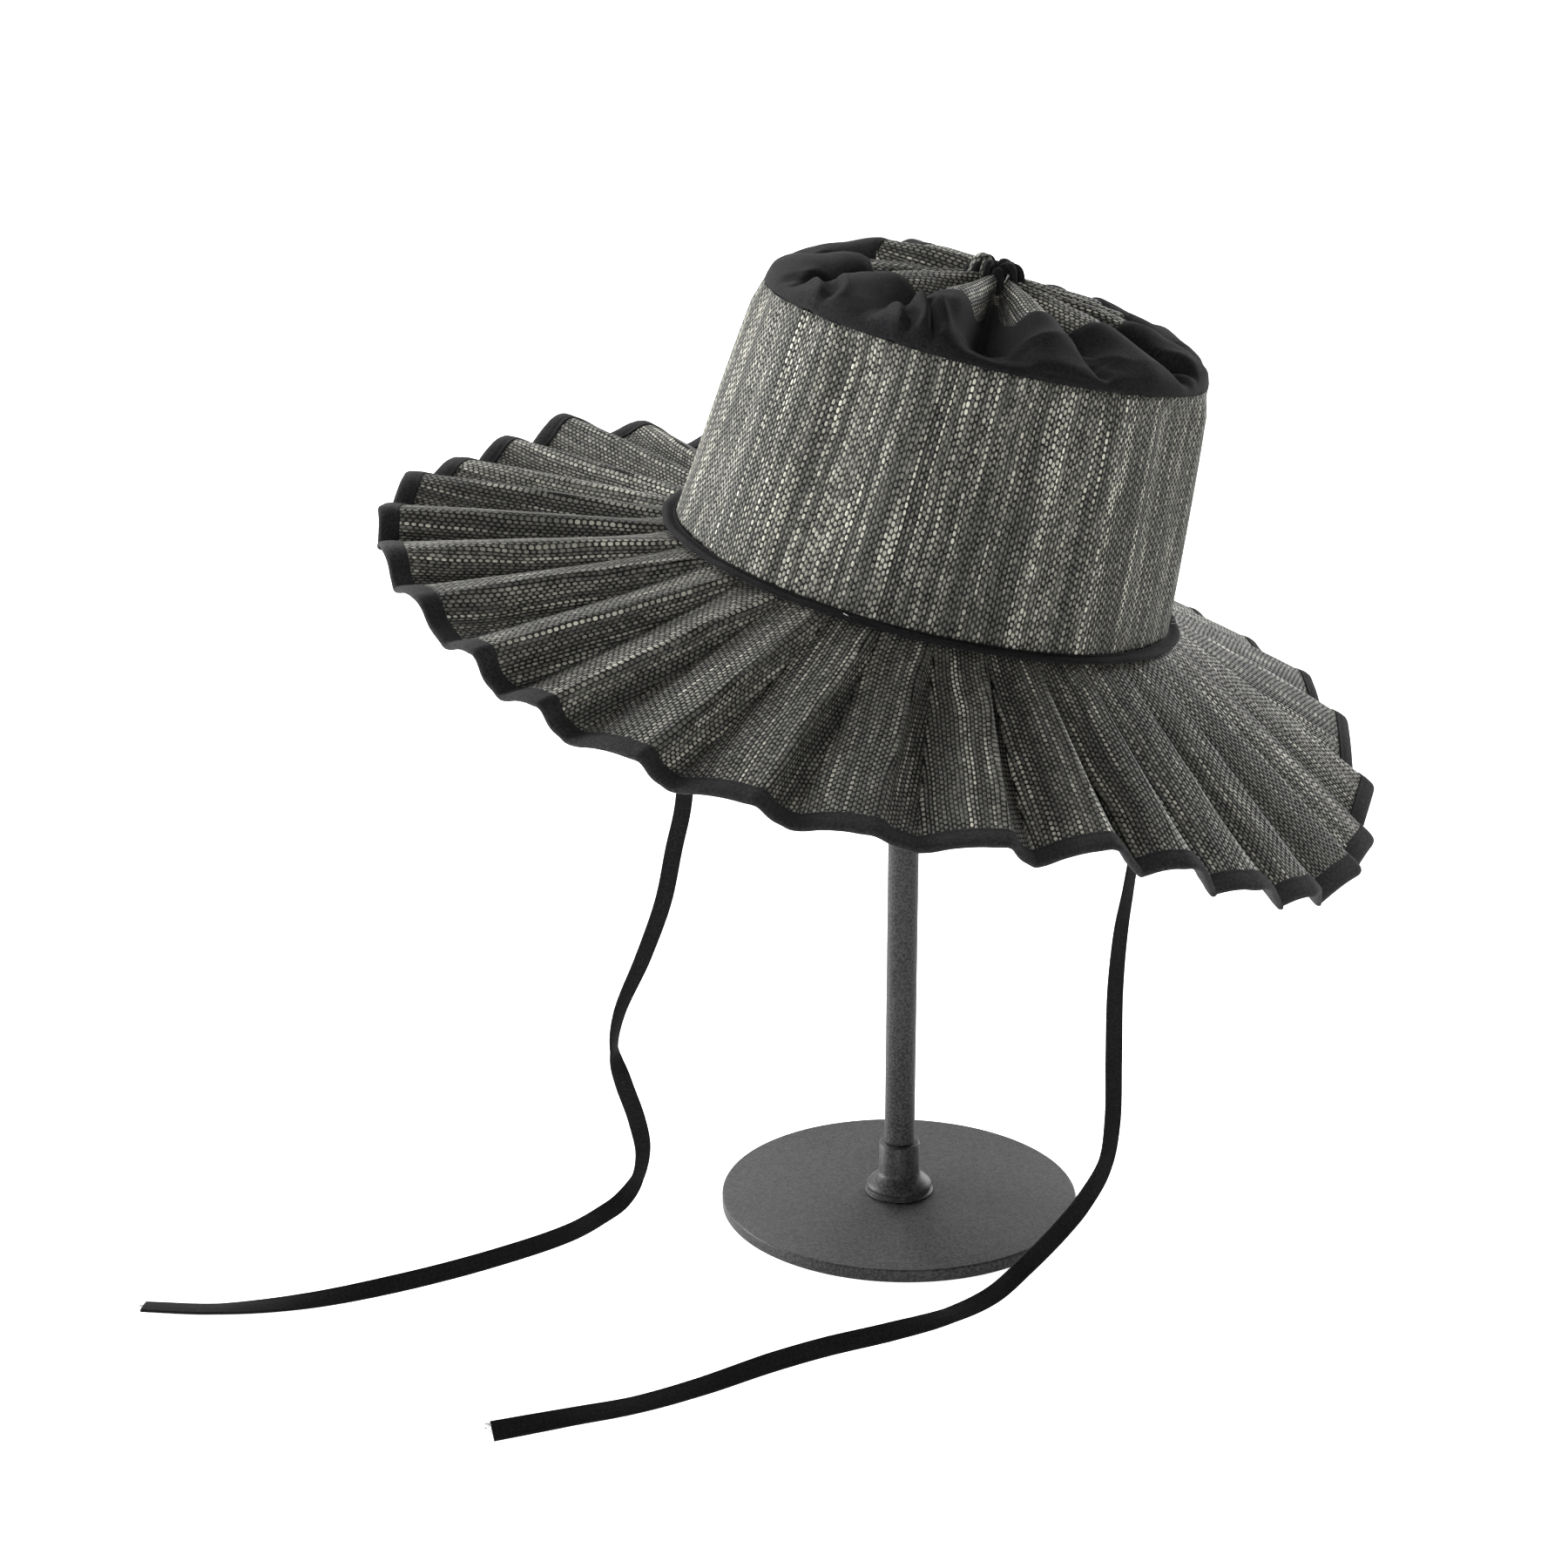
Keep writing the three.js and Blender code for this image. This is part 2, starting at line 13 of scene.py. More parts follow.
import bpy
import numpy as np
from mathutils import Euler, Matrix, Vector

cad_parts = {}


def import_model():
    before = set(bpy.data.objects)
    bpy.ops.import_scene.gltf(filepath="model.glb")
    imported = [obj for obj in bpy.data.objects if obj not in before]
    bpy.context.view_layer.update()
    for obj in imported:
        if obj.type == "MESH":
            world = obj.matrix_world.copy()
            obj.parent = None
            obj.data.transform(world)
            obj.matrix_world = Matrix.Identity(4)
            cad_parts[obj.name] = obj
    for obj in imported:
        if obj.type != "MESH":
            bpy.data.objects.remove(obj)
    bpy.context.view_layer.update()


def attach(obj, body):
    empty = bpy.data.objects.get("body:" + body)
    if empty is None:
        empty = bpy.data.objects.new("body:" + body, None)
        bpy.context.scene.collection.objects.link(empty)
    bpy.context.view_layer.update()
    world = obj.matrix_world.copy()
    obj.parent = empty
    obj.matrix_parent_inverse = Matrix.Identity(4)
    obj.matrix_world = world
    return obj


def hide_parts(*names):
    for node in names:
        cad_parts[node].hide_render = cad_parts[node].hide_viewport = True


LOG = logging.getLogger("straw_hat")
MM = 0.001
WAVES = 14


class Slot(Enum):
    """The record's material slots."""

    STRAW = "straw"
    CLOTH = "black_cloth"
    PAINT = "stand_paint"
    HEAD = "head_plastic"


def unit(vectors: np.ndarray) -> np.ndarray:
    """Scales vectors, which lie along the last axis, to a length of one."""
    return vectors / np.linalg.norm(vectors, axis=-1, keepdims=True)


def wave_noise(points: np.ndarray, size: float, seed: int) -> np.ndarray:
    """Smooth seeded noise made of plane waves.

    Args:
        points: places, last axis x, y, z or any other coordinates.
        size: the usual distance from one bump to the next.
        seed: picks the waves.

    Returns:
        values of about -1 to 1, one for each place.
    """
    rng = np.random.default_rng(seed)
    ways = unit(rng.normal(size=(WAVES, points.shape[-1])))
    ways *= np.pi / size * rng.uniform(0.6, 1.5, (WAVES, 1))
    phases = rng.uniform(0, 2 * np.pi, WAVES)
    return np.sin(points @ ways.T + phases).sum(-1) / WAVES**0.5


def through(rows: np.ndarray, steps: int) -> np.ndarray:
    """A smooth curve through rows of values, with the same number of steps between each two.

    Args:
        rows: one row of values for each station.
        steps: steps from one station to the next.

    Returns:
        the values along the curve, the last station included.
    """
    padded = np.vstack([2 * rows[0] - rows[1], rows, 2 * rows[-1] - rows[-2]])
    share = (np.arange(steps) / steps)[None, :, None]
    a, b, c, d = (padded[i : len(rows) - 1 + i][:, None, :] for i in range(4))
    curve = 0.5 * (2 * b + (c - a) * share + (2 * a - 5 * b + 4 * c - d) * share**2
                   + (3 * b - a - 3 * c + d) * share**3)
    return np.vstack([curve.reshape(-1, rows.shape[1]), rows[-1:]])


def choose(piece: bpy.types.Object) -> None:
    """Selects one piece alone and makes it active."""
    bpy.ops.object.select_all(action="DESELECT")
    piece.select_set(True)
    bpy.context.view_layer.objects.active = piece


def apply_modifiers(piece: bpy.types.Object) -> None:
    """Applies all the modifiers of a piece."""
    choose(piece)
    for modifier in list(piece.modifiers):
        bpy.ops.object.modifier_apply(modifier=modifier.name)


def round_edges(piece: bpy.types.Object, width: float, segments: int, sharp_deg: float) -> None:
    """Rounds the sharp edges of a piece.

    Args:
        piece: the piece.
        width: how wide the rounding is, in millimetres.
        segments: its steps.
        sharp_deg: an edge that turns more than this is rounded.
    """
    edge = piece.modifiers.new("edge", "BEVEL")
    edge.width, edge.segments = width * MM, segments
    edge.limit_method, edge.angle_limit = "ANGLE", math.radians(sharp_deg)
    apply_modifiers(piece)


def smooth(piece: bpy.types.Object, sharp_deg: float = 180.0) -> None:
    """Shades a piece smooth, apart from edges sharper than an angle.

    Args:
        piece: the piece.
        sharp_deg: an edge that turns more than this stays sharp.
    """
    choose(piece)
    if sharp_deg >= 180:
        bpy.ops.object.shade_smooth()
    else:
        bpy.ops.object.shade_smooth_by_angle(angle=math.radians(sharp_deg))


def new_piece(name: str, verts: np.ndarray, faces: np.ndarray) -> bpy.types.Object:
    """Makes a piece from its points and faces.

    Args:
        name: the piece's name.
        verts: points in metres.
        faces: rows of point numbers.

    Returns:
        the piece, linked to the scene.
    """
    mesh = bpy.data.meshes.new(name)
    mesh.from_pydata(verts.tolist(), [], faces.tolist())
    piece = bpy.data.objects.new(name, mesh)
    bpy.context.collection.objects.link(piece)
    return piece


def grid_faces(rows: int, columns: int, tube: bool = False) -> np.ndarray:
    """Quads of a grid whose rows run outwards and whose columns close round to the left.

    Args:
        rows: rows of points.
        columns: points in a row.
        tube: whether the last row joins the first.

    Returns:
        quads, in order of rows and then columns.
    """
    row = np.arange(rows if tube else rows - 1)[:, None]
    column = np.arange(columns)[None, :]
    below, after = (row + 1) % rows, (column + 1) % columns
    corners = [row * columns + column, below * columns + column,
               below * columns + after, row * columns + after]
    return np.stack([np.broadcast_to(c, corners[0].shape) for c in corners], -1).reshape(-1, 4)


def grid_piece(name: str, points: np.ndarray, tube: bool = False,
               cloth: np.ndarray | None = None) -> bpy.types.Object:
    """Makes a cloth-like piece from a grid of points that closes round its columns.

    Args:
        name: the piece's name.
        points: rows, columns and x, y, z in metres.
        tube: whether the last row joins the first.
        cloth: where each corner of each quad lies on the flat cloth, in metres, or None to
            measure that along the grid's own rows and columns.

    Returns:
        the piece, with a UV map of the flat cloth.
    """
    rows, columns = points.shape[:2]
    piece = new_piece(name, points.reshape(-1, 3), grid_faces(rows, columns, tube))
    lay_cloth(piece, flat_cloth(points, tube) if cloth is None else cloth)
    return piece


def lay_cloth(piece: bpy.types.Object, cloth: np.ndarray) -> None:
    """Gives a piece the UV map that says where each corner lies on the flat cloth, in metres."""
    layer = piece.data.uv_layers.new(name="cloth")
    layer.data.foreach_set("uv", cloth.astype(np.float32).ravel())


def flat_cloth(points: np.ndarray, tube: bool = False) -> np.ndarray:
    """Measures a grid of points as flat cloth, along its rows and columns.

    Args:
        points: rows, columns and x, y, z.
        tube: whether the last row joins the first.

    Returns:
        for each quad's four corners, the distance along the row and down the column.
    """
    points = np.concatenate([points, points[:, :1]], 1)
    if tube:
        points = np.concatenate([points, points[:1]], 0)
    across = np.linalg.norm(np.diff(points, axis=1), axis=2).mean(0)
    down = np.linalg.norm(np.diff(points, axis=0), axis=2).mean(1)
    u = np.concatenate([[0], np.cumsum(across)])
    v = np.concatenate([[0], np.cumsum(down)])
    grid = np.stack(np.broadcast_arrays(u[None, :], v[:, None]), -1)
    return np.stack([grid[:-1, :-1], grid[1:, :-1], grid[1:, 1:], grid[:-1, 1:]], 2)


def give_wall(piece: bpy.types.Object, thickness: float, side: float) -> None:
    """Gives a sheet its thickness.

    Args:
        piece: the sheet.
        thickness: in millimetres.
        side: -1 to grow inwards, 0 to both sides, 1 outwards.
    """
    wall = piece.modifiers.new("wall", "SOLIDIFY")
    wall.thickness = thickness * MM
    wall.offset = side
    apply_modifiers(piece)


def grid_normals(points: np.ndarray) -> np.ndarray:
    """The unit normals of a grid that closes round its columns, upwards for an upward grid."""
    across = np.roll(points, -1, 1) - np.roll(points, 1, 1)
    down = np.gradient(points, axis=0)
    return unit(np.cross(down, across))


class Graph:
    """Lays nodes in a node tree, one call for each node."""

    def __init__(self, tree: bpy.types.NodeTree) -> None:
        """Starts with the tree that the nodes go into."""
        self.tree = tree

    def add(self, kind: str, inputs: dict | None = None, **settings: object) -> bpy.types.Node:
        """Adds a node.

        Args:
            kind: the node's Blender type.
            inputs: for each input's name or number, a value or the output that feeds it.
            settings: the node's own properties.

        Returns:
            the node.
        """
        node = self.tree.nodes.new(kind)
        for key, value in settings.items():
            setattr(node, key, value)
        for key, value in (inputs or {}).items():
            if isinstance(value, bpy.types.NodeSocket):
                self.tree.links.new(value, node.inputs[key])
            else:
                node.inputs[key].default_value = value
        return node

    def feed(self, node: bpy.types.Node, sources: dict) -> None:
        """Feeds inputs of a node, by name or number, from outputs."""
        for key, output in sources.items():
            self.tree.links.new(output, node.inputs[key])

    def math(self, way: str, a: object, b: object = 0.0, c: object = 0.0) -> bpy.types.NodeSocket:
        """Adds one step of arithmetic and returns its result."""
        node = self.add("ShaderNodeMath", {0: a, 1: b, 2: c}, operation=way)
        return node.outputs[0]

    def plus(self, a: object, b: object) -> bpy.types.NodeSocket:
        """Adds a sum and returns its result."""
        return self.math("ADD", a, b)

    def minus(self, a: object, b: object) -> bpy.types.NodeSocket:
        """Adds a difference and returns its result."""
        return self.math("SUBTRACT", a, b)

    def times(self, a: object, b: object) -> bpy.types.NodeSocket:
        """Adds a product and returns its result."""
        return self.math("MULTIPLY", a, b)

    def ramp(self, value: object, low: float, high: float, to_low: float = 0.0,
             to_high: float = 1.0) -> bpy.types.NodeSocket:
        """Adds a smooth step from one value to another and returns its result."""
        node = self.add("ShaderNodeMapRange", {0: value, 1: low, 2: high, 3: to_low, 4: to_high},
                        interpolation_type="SMOOTHSTEP")
        return node.outputs[0]

    def mix(self, share: object, a: object, b: object) -> bpy.types.NodeSocket:
        """Adds a mix of two colours and returns its result."""
        node = self.add("ShaderNodeMix", {0: share, 6: a, 7: b}, data_type="RGBA")
        return node.outputs[2]

    def noise(self, place: object, scale: float, detail: float = 2.0,
              rough: float = 0.5) -> bpy.types.NodeSocket:
        """Adds a noise texture and returns its value."""
        node = self.add("ShaderNodeTexNoise", {"Vector": place, "Scale": scale, "Detail": detail,
                                               "Roughness": rough})
        return node.outputs["Fac"]

    def chance(self, *numbers: object) -> bpy.types.NodeSocket:
        """Adds white noise of up to three whole numbers and returns its value."""
        place = self.add("ShaderNodeCombineXYZ", dict(enumerate(numbers)))
        return self.add("ShaderNodeTexWhiteNoise", {"Vector": place.outputs[0]}).outputs["Value"]


def shader_group(name: str, inputs: dict[str, object]) -> tuple:
    """Starts a shader node group that gives a colour, a roughness and a height.

    Args:
        name: the group's name.
        inputs: each input's name and default; three numbers make a vector and four a colour.

    Returns:
        the group's tree, its node maker, the input sockets and the output node.
    """
    tree = bpy.data.node_groups.new(name, "ShaderNodeTree")
    kinds = {1: "NodeSocketFloat", 3: "NodeSocketVector", 4: "NodeSocketColor"}
    for key, value in inputs.items():
        size = len(value) if isinstance(value, tuple) else 1
        socket = tree.interface.new_socket(key, in_out="INPUT", socket_type=kinds[size])
        socket.default_value = value
    for key, kind in (("Color", "Color"), ("Roughness", "Float"), ("Height", "Float")):
        tree.interface.new_socket(key, in_out="OUTPUT", socket_type="NodeSocket" + kind)
    graph = Graph(tree)
    source = graph.add("NodeGroupInput").outputs
    return tree, graph, source, graph.add("NodeGroupOutput")


def weave_group() -> bpy.types.NodeTree:
    """Builds the plain weave of the straw: bright warp flecks over dark weft, in uneven bands.

    Returns:
        a group from a place on the flat cloth to a colour, a roughness and a height.
    """
    tree, g, source, out = shader_group(
        "straw_weave",
        {"Cloth": (0.0, 0.0, 0.0), "Pitch": 1.25, "Pale": (0.5, 0.49, 0.41, 1.0),
         "Mid": (0.06, 0.06, 0.054, 1.0), "Gap": (0.006, 0.006, 0.0057, 1.0), "Bands": 1.0})
    place = g.add("ShaderNodeSeparateXYZ", {0: source["Cloth"]}).outputs
    per_metre = g.math("DIVIDE", 1000.0, source["Pitch"])
    x = g.times(place[0], per_metre)
    y = g.times(place[1], per_metre)
    bend_at = g.add("ShaderNodeCombineXYZ", {0: g.times(x, 0.05), 1: g.times(y, 0.03)}).outputs[0]
    wobble = g.noise(bend_at, 1.0, 1.0)
    x = g.plus(x, g.times(g.minus(wobble, 0.5), 2.4))
    column = g.math("FLOOR", x)
    beside = g.math("ABSOLUTE", g.minus(g.math("FRACT", x), 0.5))
    uneven = g.times(g.chance(column, 2.0, 8.0), 0.6)
    shifted = g.times(g.plus(y, g.plus(column, uneven)), 0.5)
    fleck_row = g.math("FLOOR", shifted)
    along = g.math("ABSOLUTE", g.minus(g.math("FRACT", shifted), 0.5))
    chance = g.chance(column, fleck_row, 3.0)
    thin = g.times(g.math("POWER", g.chance(column, 9.0, 4.0), 3.0), 0.14)
    widest = g.math("MULTIPLY_ADD", chance, 0.06, 0.42)
    width = g.math("DIVIDE", beside, g.minus(widest, thin))
    length = g.math("DIVIDE", along, g.plus(0.31, g.times(chance, 0.09)))
    reach = g.plus(g.math("POWER", width, 2.6), g.math("POWER", length, 2.6))
    fleck = g.ramp(reach, 1.15, 0.55)
    weft_along = g.minus(0.5, along)
    weft = g.times(g.ramp(weft_along, 0.24, 0.12), g.ramp(beside, 0.5, 0.36))
    bands_at = g.add("ShaderNodeCombineXYZ",
                     {0: g.times(column, 0.13), 1: g.times(y, 0.003)}).outputs[0]
    bands = g.ramp(g.noise(bands_at, 1.0, 2.0, 0.6), 0.36, 0.64)
    chain = g.math("POWER", g.chance(column, 7.0, 1.0), 1.6)
    sliver_at = g.add("ShaderNodeCombineXYZ",
                      {0: g.times(column, 0.83), 1: g.times(y, 0.03)}).outputs[0]
    sliver = g.ramp(g.noise(sliver_at, 1.0, 0.0), 0.58, 0.70)
    mood = g.plus(g.times(bands, source["Bands"]), g.times(chain, 0.8))
    mood = g.times(mood, g.plus(0.5, g.times(chance, 0.5)))
    mood = g.plus(mood, g.times(sliver, 0.6))
    tone = g.math("POWER", g.ramp(mood, 0.0, 1.9), 1.3)
    fleck_colour = g.mix(g.math("MINIMUM", tone, 1.0), source["Mid"], source["Pale"])
    weft_tone = g.times(g.chance(column, fleck_row, 5.0), g.plus(0.3, g.times(bands, 0.7)))
    ground = g.mix(g.times(weft, weft_tone), source["Gap"], source["Mid"])
    colour = g.mix(fleck, ground, fleck_colour)
    crown = g.times(fleck, g.minus(1.0, g.times(width, 0.45)))
    g.feed(out, {"Color": colour, "Roughness": g.ramp(fleck, 0, 1, 0.85, 0.52),
                 "Height": g.math("MAXIMUM", crown, g.times(weft, 0.55))})
    return tree


def nap_group() -> bpy.types.NodeTree:
    """Builds the fine twill and nap of the black cloth.

    Returns:
        a group from a place on the flat cloth to a colour, a roughness and a height.
    """
    tree, g, source, out = shader_group(
        "cloth_nap",
        {"Cloth": (0.0, 0.0, 0.0), "Thread": 0.45, "Base": (0.0035, 0.0035, 0.004, 1.0),
         "Worn": (0.017, 0.017, 0.018, 1.0)})
    place = g.add("ShaderNodeSeparateXYZ", {0: source["Cloth"]}).outputs
    turns = g.math("DIVIDE", 2 * math.pi * 1000, source["Thread"])
    x, y = (g.times(place[i], turns) for i in range(2))
    rib = g.math("SINE", g.plus(x, y))
    cross = g.math("SINE", g.minus(x, y))
    thread = g.math("MULTIPLY_ADD", rib, 0.35, g.times(cross, 0.15))
    fuzz = g.noise(source["Cloth"], 900.0, 4.0, 0.75)
    cloudy = g.noise(source["Cloth"], 60.0, 3.0, 0.6)
    speck = g.ramp(g.noise(source["Cloth"], 5200.0, 1.0), 0.62, 0.74)
    tone = g.times(g.ramp(g.plus(fuzz, g.times(thread, 0.2)), 0.3, 0.75),
                   g.ramp(cloudy, 0.25, 0.75, 0.5, 1.0))
    bright = g.math("MINIMUM", g.plus(tone, g.times(speck, 0.25)), 1.0)
    colour = g.mix(bright, source["Base"], source["Worn"])
    g.feed(out, {"Color": colour, "Roughness": g.ramp(cloudy, 0.2, 0.8, 0.86, 0.98),
                 "Height": g.plus(fuzz, g.times(thread, 0.5))})
    return tree


def coat_group() -> bpy.types.NodeTree:
    """Builds the fine grain of a powder coat, with soft random patches that shift its tone and
    roughness.

    Returns:
        a group from a place to a colour, a roughness and a height.
    """
    tree, g, source, out = shader_group(
        "powder_coat",
        {"Place": (0.0, 0.0, 0.0), "Grain": 1100.0, "Base": (0.010, 0.010, 0.0105, 1.0),
         "Bright": (0.034, 0.034, 0.035, 1.0), "Rough": 0.42})
    grain = g.noise(source["Place"], source["Grain"], 2.0, 0.6)
    patch = g.noise(source["Place"], 28.0, 3.0, 0.6)
    tone = g.plus(g.times(grain, 0.8), g.times(patch, 0.2))
    colour = g.mix(g.ramp(tone, 0.38, 0.62), source["Base"], source["Bright"])
    rough = g.plus(source["Rough"], g.times(g.minus(patch, 0.5), 0.2))
    g.feed(out, {"Color": colour, "Roughness": rough, "Height": grain})
    return tree


@dataclass(frozen=True)
class Finish:
    """A finish: one node group and the plain values of the surface under it."""

    name: str
    group: str
    values: dict
    bump_mm: float
    bump_share: float
    sheen: float = 0.0
    specular: float = 0.5

    def material(self) -> bpy.types.Material:
        """Makes the material, or finds it once it is made, and returns it."""
        found = bpy.data.materials.get(self.name)
        if found:
            return found
        made = bpy.data.materials.new(self.name)
        made.use_nodes = True
        g = Graph(made.node_tree)
        surface = made.node_tree.nodes["Principled BSDF"]
        group = g.add("ShaderNodeGroup", node_tree=bpy.data.node_groups[self.group])
        for key, value in self.values.items():
            group.inputs[key].default_value = value
        on_cloth = "Cloth" in group.inputs
        place = (g.add("ShaderNodeUVMap", uv_map="cloth").outputs[0] if on_cloth
                 else g.add("ShaderNodeTexCoord").outputs["Object"])
        g.feed(group, {"Cloth" if on_cloth else "Place": place})
        bump = g.add("ShaderNodeBump", {"Strength": self.bump_share,
                                        "Distance": self.bump_mm * MM,
                                        "Height": group.outputs["Height"]})
        g.feed(surface, {"Normal": bump.outputs[0], "Base Color": group.outputs["Color"],
                         "Roughness": group.outputs["Roughness"]})
        for key, value in (("Specular IOR Level", self.specular), ("Sheen Weight", self.sheen),
                           ("Sheen Roughness", 0.45)):
            surface.inputs[key].default_value = value
        return made


STRAW = Finish("crown_straw", "straw_weave",
               {"Bands": 0.75, "Pale": (0.49, 0.48, 0.405, 1.0), "Mid": (0.073, 0.073, 0.066, 1.0)},
               0.35, 0.6, specular=0.08)
# Brim straw: calmer bands than the crown's straw, and lighter tones, which are painted light making
# up for the light its deep pleats keep off.
BRIM_STRAW_PAINTED_LIGHT = Finish("brim_straw_painted_light", "straw_weave",
                    {"Bands": 0.55, "Pale": (0.58, 0.57, 0.48, 1.0),
                     "Mid": (0.092, 0.091, 0.083, 1.0)}, 0.35, 0.6, specular=0.08)
BLACK_CLOTH = Finish("black_cotton", "cloth_nap", {}, 0.3, 0.6, sheen=0.03, specular=0.05)
# Binding cloth: a lighter copy of the black cloth, whose lighter Base and Worn tones are painted
# light on the rim binding.
BINDING_CLOTH_PAINTED_LIGHT = Finish("binding_cloth_painted_light", "cloth_nap",
                       {"Base": (0.007, 0.007, 0.0075, 1.0), "Worn": (0.036, 0.036, 0.038, 1.0)},
                       0.3, 0.6, sheen=0.04, specular=0.06)
TIE_CLOTH = Finish("tie_cloth", "cloth_nap", {"Worn": (0.015, 0.015, 0.016, 1.0)}, 0.1, 0.5,
                   sheen=0.02, specular=0.08)
RAW_THREAD = Finish("raw_thread", "cloth_nap",
                    {"Base": (0.32, 0.32, 0.33, 1.0), "Worn": (0.62, 0.62, 0.63, 1.0)}, 0.05, 0.4)
STAND_PAINT = Finish("stand_coat", "powder_coat", {"Rough": 0.5}, 0.06, 0.5, specular=0.14)
HEAD_PLASTIC = Finish("head_shell", "powder_coat",
                      {"Base": (0.02, 0.02, 0.021, 1.0), "Bright": (0.032, 0.032, 0.033, 1.0),
                       "Rough": 0.5}, 0.03, 0.3)


def settle(piece: bpy.types.Object, finish: Finish, slot: Slot, *nodes: str) -> bpy.types.Object:
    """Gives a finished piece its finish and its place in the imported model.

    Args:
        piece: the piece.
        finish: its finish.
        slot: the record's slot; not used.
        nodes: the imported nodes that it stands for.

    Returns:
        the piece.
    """
    piece.data.materials.clear()
    piece.data.materials.append(finish.material())
    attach(piece, "root")
    if nodes:
        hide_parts(*nodes)
    LOG.info("%s: %d faces", piece.name, len(piece.data.polygons))
    return piece


@dataclass(frozen=True)
class HatPlace:
    """Where the hat sits on the stand, leaning to the right and tipped a little to the front."""

    base: tuple[float, float, float] = (5.0, 0.0, 250.3)
    lean_deg: float = 13.0
    tip_deg: float = 3.6

    def set_down(self, points: np.ndarray) -> np.ndarray:
        """Moves points of the level hat, in millimetres, to where they lie in metres."""
        turn = np.array(Euler((math.radians(self.tip_deg), 0, 0)).to_matrix())
        turn = turn @ np.array(Euler((0, math.radians(self.lean_deg), 0)).to_matrix())
        return (points @ turn.T + np.array(self.base)) * MM


def polar(radius: object, angle: object, height: object) -> np.ndarray:
    """Points from numbers or arrays of radius, angle in radians, and height."""
    radius, angle, height = np.broadcast_arrays(radius, angle, height)
    return np.stack([radius * np.cos(angle), radius * np.sin(angle), height], -1)


@dataclass
class Stand:
    """The plain display stand: a round foot, a flared boss with a collar, a pole and a head."""

    foot_radius: float = 68.8
    foot_thickness: float = 5.0
    foot_bevel: float = 0.8
    gap: float = 0.3
    pole_radius: float = 5.8
    head_radius: float = 40.0
    head_centre: float = 311.8
    head_underside: float = 303.8
    boss: tuple[tuple[float, float], ...] = (
        (12.9, 0.0), (13.2, 0.15), (13.2, 0.45), (12.9, 0.6), (12.25, 0.7), (12.2, 0.9),
        (12.2, 2.0), (12.6, 2.3), (12.65, 2.7), (12.5, 3.1), (11.9, 3.9), (10.9, 4.9),
        (9.7, 5.8), (8.7, 6.7),
        (8.05, 7.6), (7.8, 8.6), (7.8, 19.7), (7.6, 20.0), (7.3, 20.1))

    def turned(self, name: str, sections: tuple[tuple[float, float], ...],
               segments: int) -> bpy.types.Object:
        """Raises a round piece from its foot, section by section.

        Args:
            name: the piece's name.
            sections: radius and height of each section, from the foot up.
            segments: flats round it.

        Returns:
            the piece.
        """
        bpy.ops.object.select_all(action="DESELECT")
        radius, height = sections[0]
        bpy.ops.mesh.primitive_circle_add(vertices=segments, radius=radius * MM,
                                          fill_type="NGON", location=(0, 0, 0))
        piece = bpy.context.object
        piece.name = piece.data.name = name
        bpy.ops.object.mode_set(mode="EDIT")
        bpy.ops.transform.translate(value=(0, 0, height * MM))
        for wider, higher in sections[1:]:
            bpy.ops.mesh.extrude_region_move(
                TRANSFORM_OT_translate={"value": (0, 0, (higher - height) * MM)})
            share = wider / radius
            bpy.ops.transform.resize(value=(share, share, 1), center_override=(0, 0, 0))
            radius, height = wider, higher
        bpy.ops.mesh.select_all(action="SELECT")
        bpy.ops.mesh.normals_make_consistent(inside=False)
        bpy.ops.object.mode_set(mode="OBJECT")
        return piece

    def foot(self) -> bpy.types.Object:
        """Makes the round foot, with a small rounded edge."""
        foot = self.turned("stand_foot", ((self.foot_radius, 0.0),
                                          (self.foot_radius, self.foot_thickness)), 192)
        round_edges(foot, self.foot_bevel, 4, 30)
        smooth(foot, 35)
        return foot

    def raised_boss(self) -> bpy.types.Object:
        """Makes the flared flange with its collar."""
        foot = self.foot_thickness + self.gap
        boss = self.turned("stand_collar", tuple((r, h + foot) for r, h in self.boss), 96)
        round_edges(boss, 0.25, 2, 35)
        smooth(boss, 40)
        return boss

    def pole(self) -> bpy.types.Object:
        """Makes the round pole from the collar up to the head."""
        low = self.foot_thickness + self.gap + self.boss[-1][1] + self.gap
        high = self.head_underside - self.gap
        r = self.pole_radius
        pole = self.turned("stand_tube", ((r - 0.3, low), (r, low + 0.3), (r, high - 0.3),
                                          (r - 0.3, high)), 64)
        smooth(pole, 35)
        return pole

    def head(self) -> bpy.types.Object:
        """Makes the head: a ball cut flat below, with a rounded edge."""
        bpy.ops.object.select_all(action="DESELECT")
        bpy.ops.mesh.primitive_uv_sphere_add(segments=64, ring_count=40,
                                             radius=self.head_radius * MM, location=(0, 0, 0))
        head = bpy.context.object
        head.name = head.data.name = "stand_dome"
        bpy.ops.object.mode_set(mode="EDIT")
        bpy.ops.transform.translate(value=(0, 0, self.head_centre * MM))
        bpy.ops.mesh.bisect(plane_co=(0, 0, self.head_underside * MM), plane_no=(0, 0, 1),
                            use_fill=True, clear_inner=True)
        bpy.ops.object.mode_set(mode="OBJECT")
        round_edges(head, 1.2, 3, 50)
        smooth(head, 50)
        return head

    def build(self) -> None:
        """Builds the whole stand."""
        settle(self.foot(), STAND_PAINT, Slot.PAINT, "stand_base")
        settle(self.raised_boss(), STAND_PAINT, Slot.PAINT, "stand_boss")
        settle(self.pole(), STAND_PAINT, Slot.PAINT, "stand_pole")
        settle(self.head(), HEAD_PLASTIC, Slot.HEAD, "stand_head")


